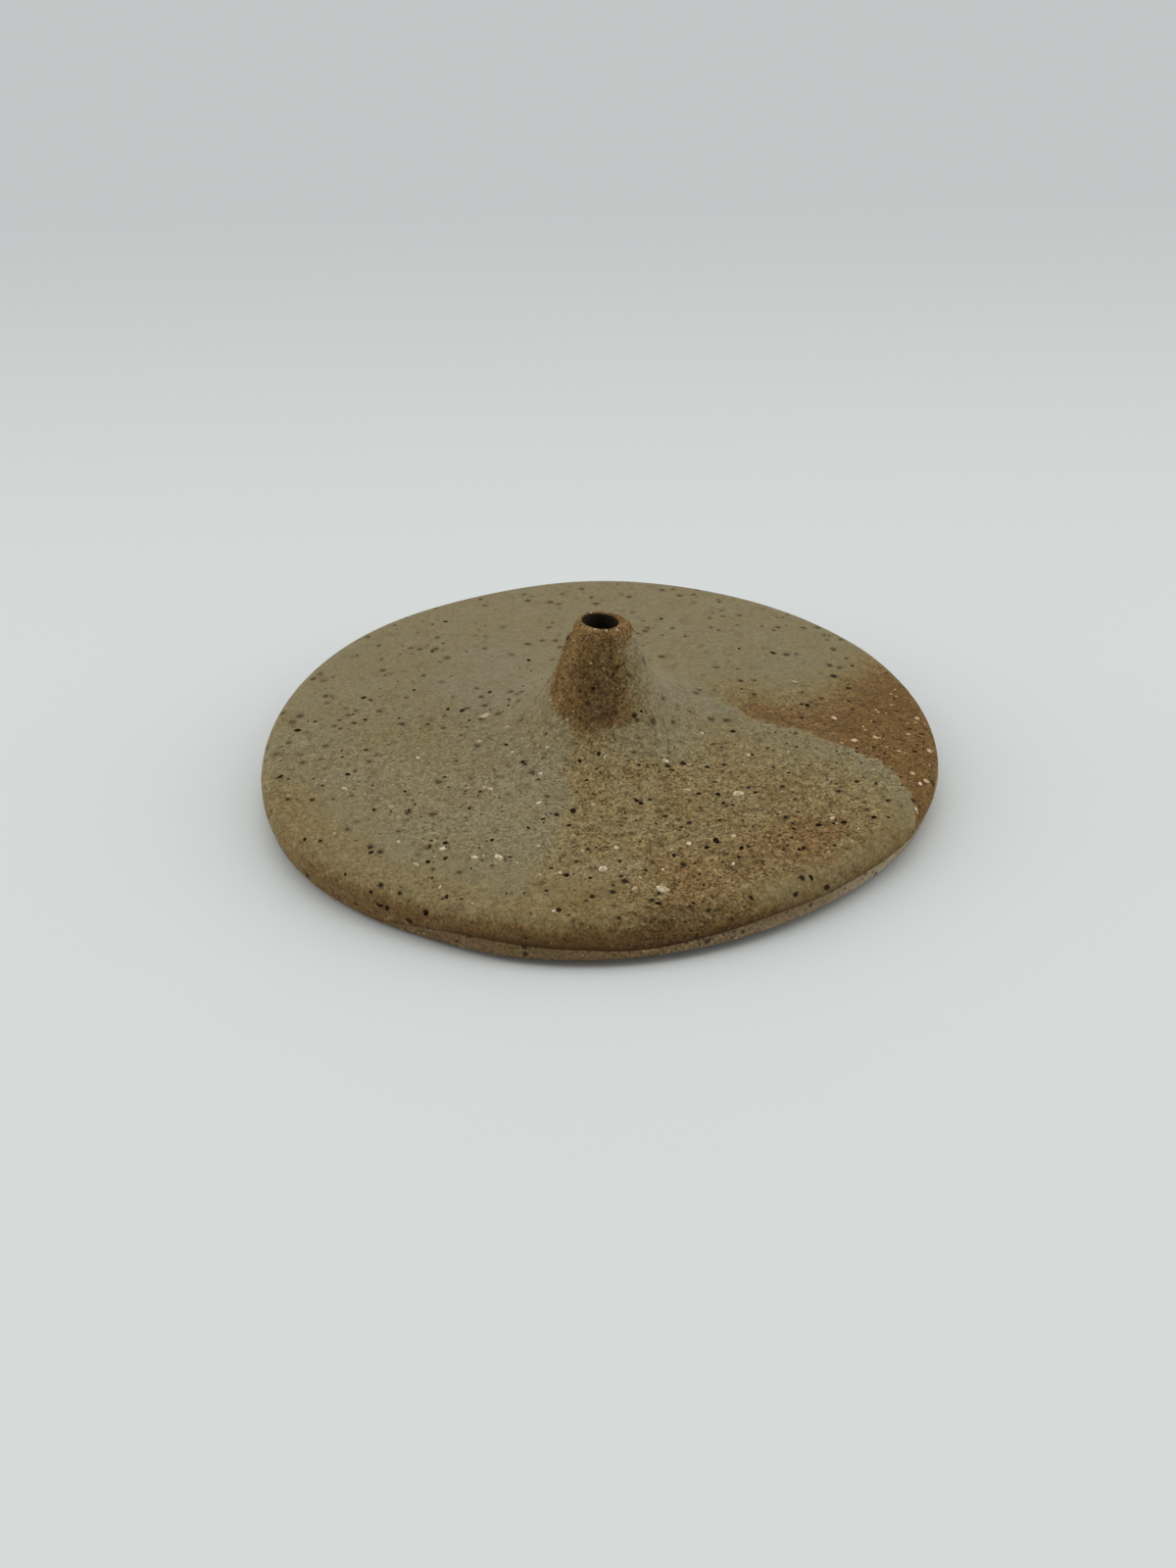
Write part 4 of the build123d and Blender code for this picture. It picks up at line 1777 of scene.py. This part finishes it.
@dataclass(frozen=True)
class Glow:
    """One soft part of the sky: its strength, the direction it is brightest in, and how narrow it is."""

    strength: float
    towards: tuple[float, float, float]
    narrowness: float


@dataclass
class Studio:
    """Pale floor, soft light from above and both sides, and the camera at the photograph's angle."""

    floor_size: float = 6000.0
    floor_near: Shade = (213, 217, 216)
    # painted shade far behind, where the light falls off
    floor_far_shade: Shade = (192, 196, 196)
    floor_shade_fade: Point = (10.0, 300.0)  # places from front to back between which painted shade darkens the floor
    floor_roughness: float = 0.9
    floor_specular: float = 0.1
    sky: tuple[Glow, ...] = (
        Glow(2.64, (0.0, 0.0, 1.0), 16.0),  # from above
        Glow(1.04, (0.5, 0.0, 0.866), 16.0),  # down both sides
        Glow(1.04, (-0.5, 0.0, 0.866), 16.0),
        Glow(0.62, (0.707, 0.0, 0.707), 16.0),
        Glow(0.62, (-0.707, 0.0, 0.707), 16.0),
        Glow(1.25, (1.0, 0.0, 0.0), 16.0),
        Glow(1.25, (-1.0, 0.0, 0.0), 16.0),
        Glow(2.36, (1.0, 0.0, 0.0), 4.0),
        Glow(2.36, (-1.0, 0.0, 0.0), 4.0),
        Glow(2.73, (0.0, 1.0, 0.0), 16.0),  # from behind
        Glow(0.91, (0.0, 0.766, 0.643), 16.0),
    )
    camera_at: tuple[float, float, float] = (-1.3, -226.037, 139.331)
    camera_down: float = 32.105
    camera_yaw: float = -0.300
    camera_roll: float = 1.353
    lens: float = 45.0
    sensor: float = 36.0
    nearest_seen: float = 10.0

    def build_floor(self) -> None:
        """Lays the floor that the holder stands on, with painted shade that makes it a little darker far
        behind.
        """
        Workbench.clear_selection()
        bpy.ops.mesh.primitive_plane_add(size=self.floor_size * MM)
        floor = bpy.context.object
        floor.name = "floor"
        material = bpy.data.materials.new("studio_floor")
        material.use_nodes = True
        board = NodeBoard(material.node_tree)
        back = board.node("ShaderNodeSeparateXYZ", {0: board.place_in_mm()}).outputs["Y"]
        far = board.rise(back, self.floor_shade_fade)
        inputs = {
            "Base Color": board.stain(far, linear_colour(*self.floor_near), self.floor_far_shade),
            "Roughness": self.floor_roughness,
            "Specular IOR Level": self.floor_specular,
        }
        shader = board.node("ShaderNodeBsdfPrincipled", inputs)
        board.node("ShaderNodeOutputMaterial", {"Surface": shader.outputs[0]})
        floor.data.materials.append(material)

    def build_light(self) -> None:
        """Lights the holder by a soft sky that is brighter above and at the sides than behind the camera."""
        world = bpy.data.worlds.new("studio")
        world.use_nodes = True
        board = NodeBoard(world.node_tree)
        towards = board.node("ShaderNodeTexCoord").outputs["Generated"]
        strength = 0.0
        for glow in self.sky:
            inputs = {0: towards, 1: glow.towards}
            facing = board.node("ShaderNodeVectorMath", inputs, operation="DOT_PRODUCT")
            lit = board.maths("POWER", board.maths("MAXIMUM", facing.outputs["Value"], 0.0), glow.narrowness)
            strength = board.maths("MULTIPLY_ADD", lit, glow.strength, strength)
        light = board.node("ShaderNodeBackground", {"Color": (1.0, 1.0, 1.0, 1.0), "Strength": strength})
        # what the camera sees past the floor takes the far floor's painted shade
        far = linear_colour(*self.floor_far_shade)
        backdrop = board.node("ShaderNodeBackground", {"Color": far, "Strength": 1.0})
        seen = board.node("ShaderNodeLightPath").outputs["Is Camera Ray"]
        shown = board.node("ShaderNodeMixShader", {0: seen, 1: light.outputs[0], 2: backdrop.outputs[0]})
        board.node("ShaderNodeOutputWorld", {"Surface": shown.outputs[0]})
        bpy.context.scene.world = world

    def build_camera(self) -> None:
        """Sets the camera where the photograph was taken from."""
        down, yaw, roll = (math.radians(a) for a in (self.camera_down, self.camera_yaw, self.camera_roll))
        forward = Vector((math.sin(yaw) * math.cos(down), math.cos(yaw) * math.cos(down), -math.sin(down)))
        level = Vector((math.cos(yaw), -math.sin(yaw), 0.0))
        upright = level.cross(forward)
        right = math.cos(roll) * level - math.sin(roll) * upright
        up = math.sin(roll) * level + math.cos(roll) * upright
        camera = bpy.data.cameras.new("camera")
        camera.lens = self.lens
        camera.sensor_width = self.sensor
        camera.clip_start = self.nearest_seen * MM
        holder = bpy.data.objects.new("camera", camera)
        turned = Matrix((right, up, -forward)).transposed().to_4x4()
        turned.translation = Vector(self.camera_at) * MM
        holder.matrix_world = turned
        bpy.context.scene.collection.objects.link(holder)
        bpy.context.scene.camera = holder

    def build(self) -> None:
        """Builds the floor, the light and the camera, and keeps colours as written."""
        self.build_floor()
        self.build_light()
        self.build_camera()
        bpy.context.scene.view_settings.view_transform = "Standard"


# Grains that are seen in the photograph, at their places on the finished holder
IRON_PLACES = (
    (13.2, -28.9, 1.3), (11.9, -30.2, 0.9), (16.2, -30.4, 1.0), (7.9, -31.6, 0.8), (25.9, -25.3, 0.9),
    (23.7, -30.3, 0.8), (24.1, -35.5, 0.9), (32.6, -23.3, 0.9), (31.1, -15.4, 0.9), (3.7, -20.1, 1.0),
    (11.6, -18.8, 0.8), (13.7, -16.1, 0.8), (-4.3, -22.0, 1.2), (-4.8, -24.9, 0.8), (-6.3, -22.7, 0.8),
    (-3.8, -18.0, 0.6), (-2.6, -15.4, 0.7), (-32.9, -11.5, 1.0), (-42.0, -10.9, 1.1), (-25.1, -16.2, 0.7),
    (-19.8, -28.0, 0.8), (-21.7, -31.6, 0.8), (-28.6, -19.9, 0.7), (-11.9, -31.3, 0.7), (-2.3, -35.6, 0.7),
    (-10.7, -11.0, 0.8), (-12.9, -6.8, 0.7), (-0.9, -11.2, 0.8), (8.4, -13.5, 0.9), (12.9, -12.7, 0.8),
    (-19.3, 2.9, 1.0), (-21.3, 3.6, 0.8), (-41.5, 0.3, 1.2), (-33.3, 8.5, 1.1), (-10.5, 16.6, 0.8),
    (-23.0, 30.7, 1.0), (27.2, 3.8, 0.9), (24.3, 18.7, 1.1), (19.6, 19.9, 0.8), (8.6, 29.6, 0.8),
    (-28.2, -34.9, 0.8), (-27.5, -35.9, 0.7), (-26.4, -36.7, 0.9), (-27.3, -36.3, 0.7), (-21.6, -39.2, 1.0),
    (-36.6, -24.7, 0.7), (-1.3, -5.6, 0.7), (4.7, -5.9, 0.6), (-3.0, -7.0, 0.5), (1.1, -4.3, 0.5),
)
GRIT_PLACES = (
    (16.6, -18.7, 1.8), (-0.8, -33.9, 1.7), (6.2, -38.1, 1.9), (27.7, -23.7, 1.0), (38.0, -20.0, 1.2),
    (9.8, -29.3, 1.0), (2.9, -37.8, 0.9), (-13.2, -31.3, 1.5), (-20.1, -29.1, 1.1), (-16.2, -31.2, 1.0),
    (-26.6, -19.4, 1.1), (-16.0, 1.0, 2.1), (26.3, 10.0, 1.1), (7.6, -11.7, 1.1), (0.5, -2.9, 0.45),
    (1.9, -2.4, 0.5), (-1.0, -2.8, 0.4), (3.2, -1.6, 0.4),
)
ROSE_GRIT_PLACES = (
    (30.3, 0.6, 1.1), (32.1, -5.0, 1.2), (35.0, -4.2, 1.1), (41.4, 1.0, 1.0), (41.6, -6.9, 1.2),
    (38.4, -12.7, 1.0), (40.0, -13.9, 1.1), (30.4, -5.7, 0.9), (27.7, -1.0, 0.8), (36.5, 2.5, 0.7),
    (33.8, -1.5, 0.7), (38.5, 4.5, 0.7), (37.5, -7.5, 0.7), (39.6, -3.2, 0.8), (39.0, 7.5, 0.6),
)


def build_grains(
    section: ClaySection, hand: HandWork, effects: SharedEffects, surface: list[Piece]
) -> list[Piece]:
    """Builds the four kinds of grains.

    Args:
        section: Section of the clay.
        hand: The hand's unevenness.
        effects: Node groups shared by the finishes.
        surface: Clay and glaze that the grains lie in.

    Returns:
        The finished pieces.
    """
    grit = {"section": section, "hand": hand, "flatness": 0.5, "proud": 0.3}
    iron = {"section": section, "hand": hand, "flatness": 0.25, "proud": 0.4}
    kinds = (
        (
            Grains("white_grit", chosen=GRIT_PLACES, scattered=60, widths=(0.45, 1.1), seed=11,
                   spread=(-170.0, -20.0), **grit),
            GrainFinish("white_grit", roughness=0.7),
        ),
        (
            Grains("rose_grit", chosen=ROSE_GRIT_PLACES, scattered=0, widths=(0.4, 0.9), seed=31, **grit),
            GrainFinish("rose_grit", roughness=0.8, pale=(206, 180, 148), dark=(168, 138, 104)),
        ),
        (
            Grains("iron_specks", chosen=IRON_PLACES, scattered=120, widths=(0.4, 0.95), seed=23,
                   spread=(-115.0, -5.0), **iron),
            GrainFinish("iron", roughness=1.0, specular=0.0, pale=(46, 34, 22), dark=(24, 17, 11)),
        ),
        (
            Grains("left_iron_specks", chosen=(), scattered=90, widths=(0.4, 0.85), seed=47,
                   spread=(120.0, 250.0), **iron),
            GrainFinish("veiled_iron", roughness=1.0, specular=0.0, pale=(68, 54, 36), dark=(42, 32, 21)),
        ),
    )
    return [grains.build(finish.material(effects), "stoneware_clay", surface) for grains, finish in kinds]


def main() -> None:
    """Builds the pieces in order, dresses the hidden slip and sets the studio."""
    logging.basicConfig(level=logging.INFO, format="%(name)s: %(message)s")
    section = ClaySection.from_frame()
    hand = HandWork()
    effects = SharedEffects()
    clay = ClayFinish("bare_stoneware", roughness=0.85).material(effects)
    tan = GlazeFinish("tan_glaze", roughness=0.65).material(effects)
    grey_green = GlazeFinish("grey_green_glaze", roughness=0.65).material(effects)
    slip = GrainFinish("fired_slip", roughness=0.9, specular=0.2, pale=(118, 96, 68), dark=(92, 72, 50))

    over_clay = {"section": section, "hand": hand, "lines": PourLines(), "depth": GlazeDepth()}
    sharp_edge = {"wedge_opens": (17.0, 22.0), "wedge_fade": (0.0, 2.4), "wedge_bead": 0.2}
    soft_edge = {"wedge_opens": (13.0, 22.0), "wedge_fade": (-1.4, 14.0), "wedge_bead": 0.0}
    front = GlazeSheet(Pour.FRONT, columns=130, **sharp_edge, **over_clay)
    back = GlazeSheet(Pour.BACK, columns=300, **soft_edge, **over_clay)
    pieces = [part(section, hand).build(clay) for part in (ClayDisc, ClaySpout, ClayCoil)]
    pieces.append(front.build("front_glaze", tan, "tan_glaze"))
    pieces.append(back.build("back_glaze", grey_green, "grey_green_glaze"))
    pieces += build_grains(section, hand, effects, list(pieces))
    hidden_slip = frame["nodes"]["luting_slip"]
    hidden_slip.data.materials.clear()
    hidden_slip.data.materials.append(slip.material(effects))
    for piece in pieces + [hidden_slip]:
        log.info("%s: %d faces", piece.name, len(piece.data.polygons))

    Studio().build()


if __name__ == "__main__":
    main()
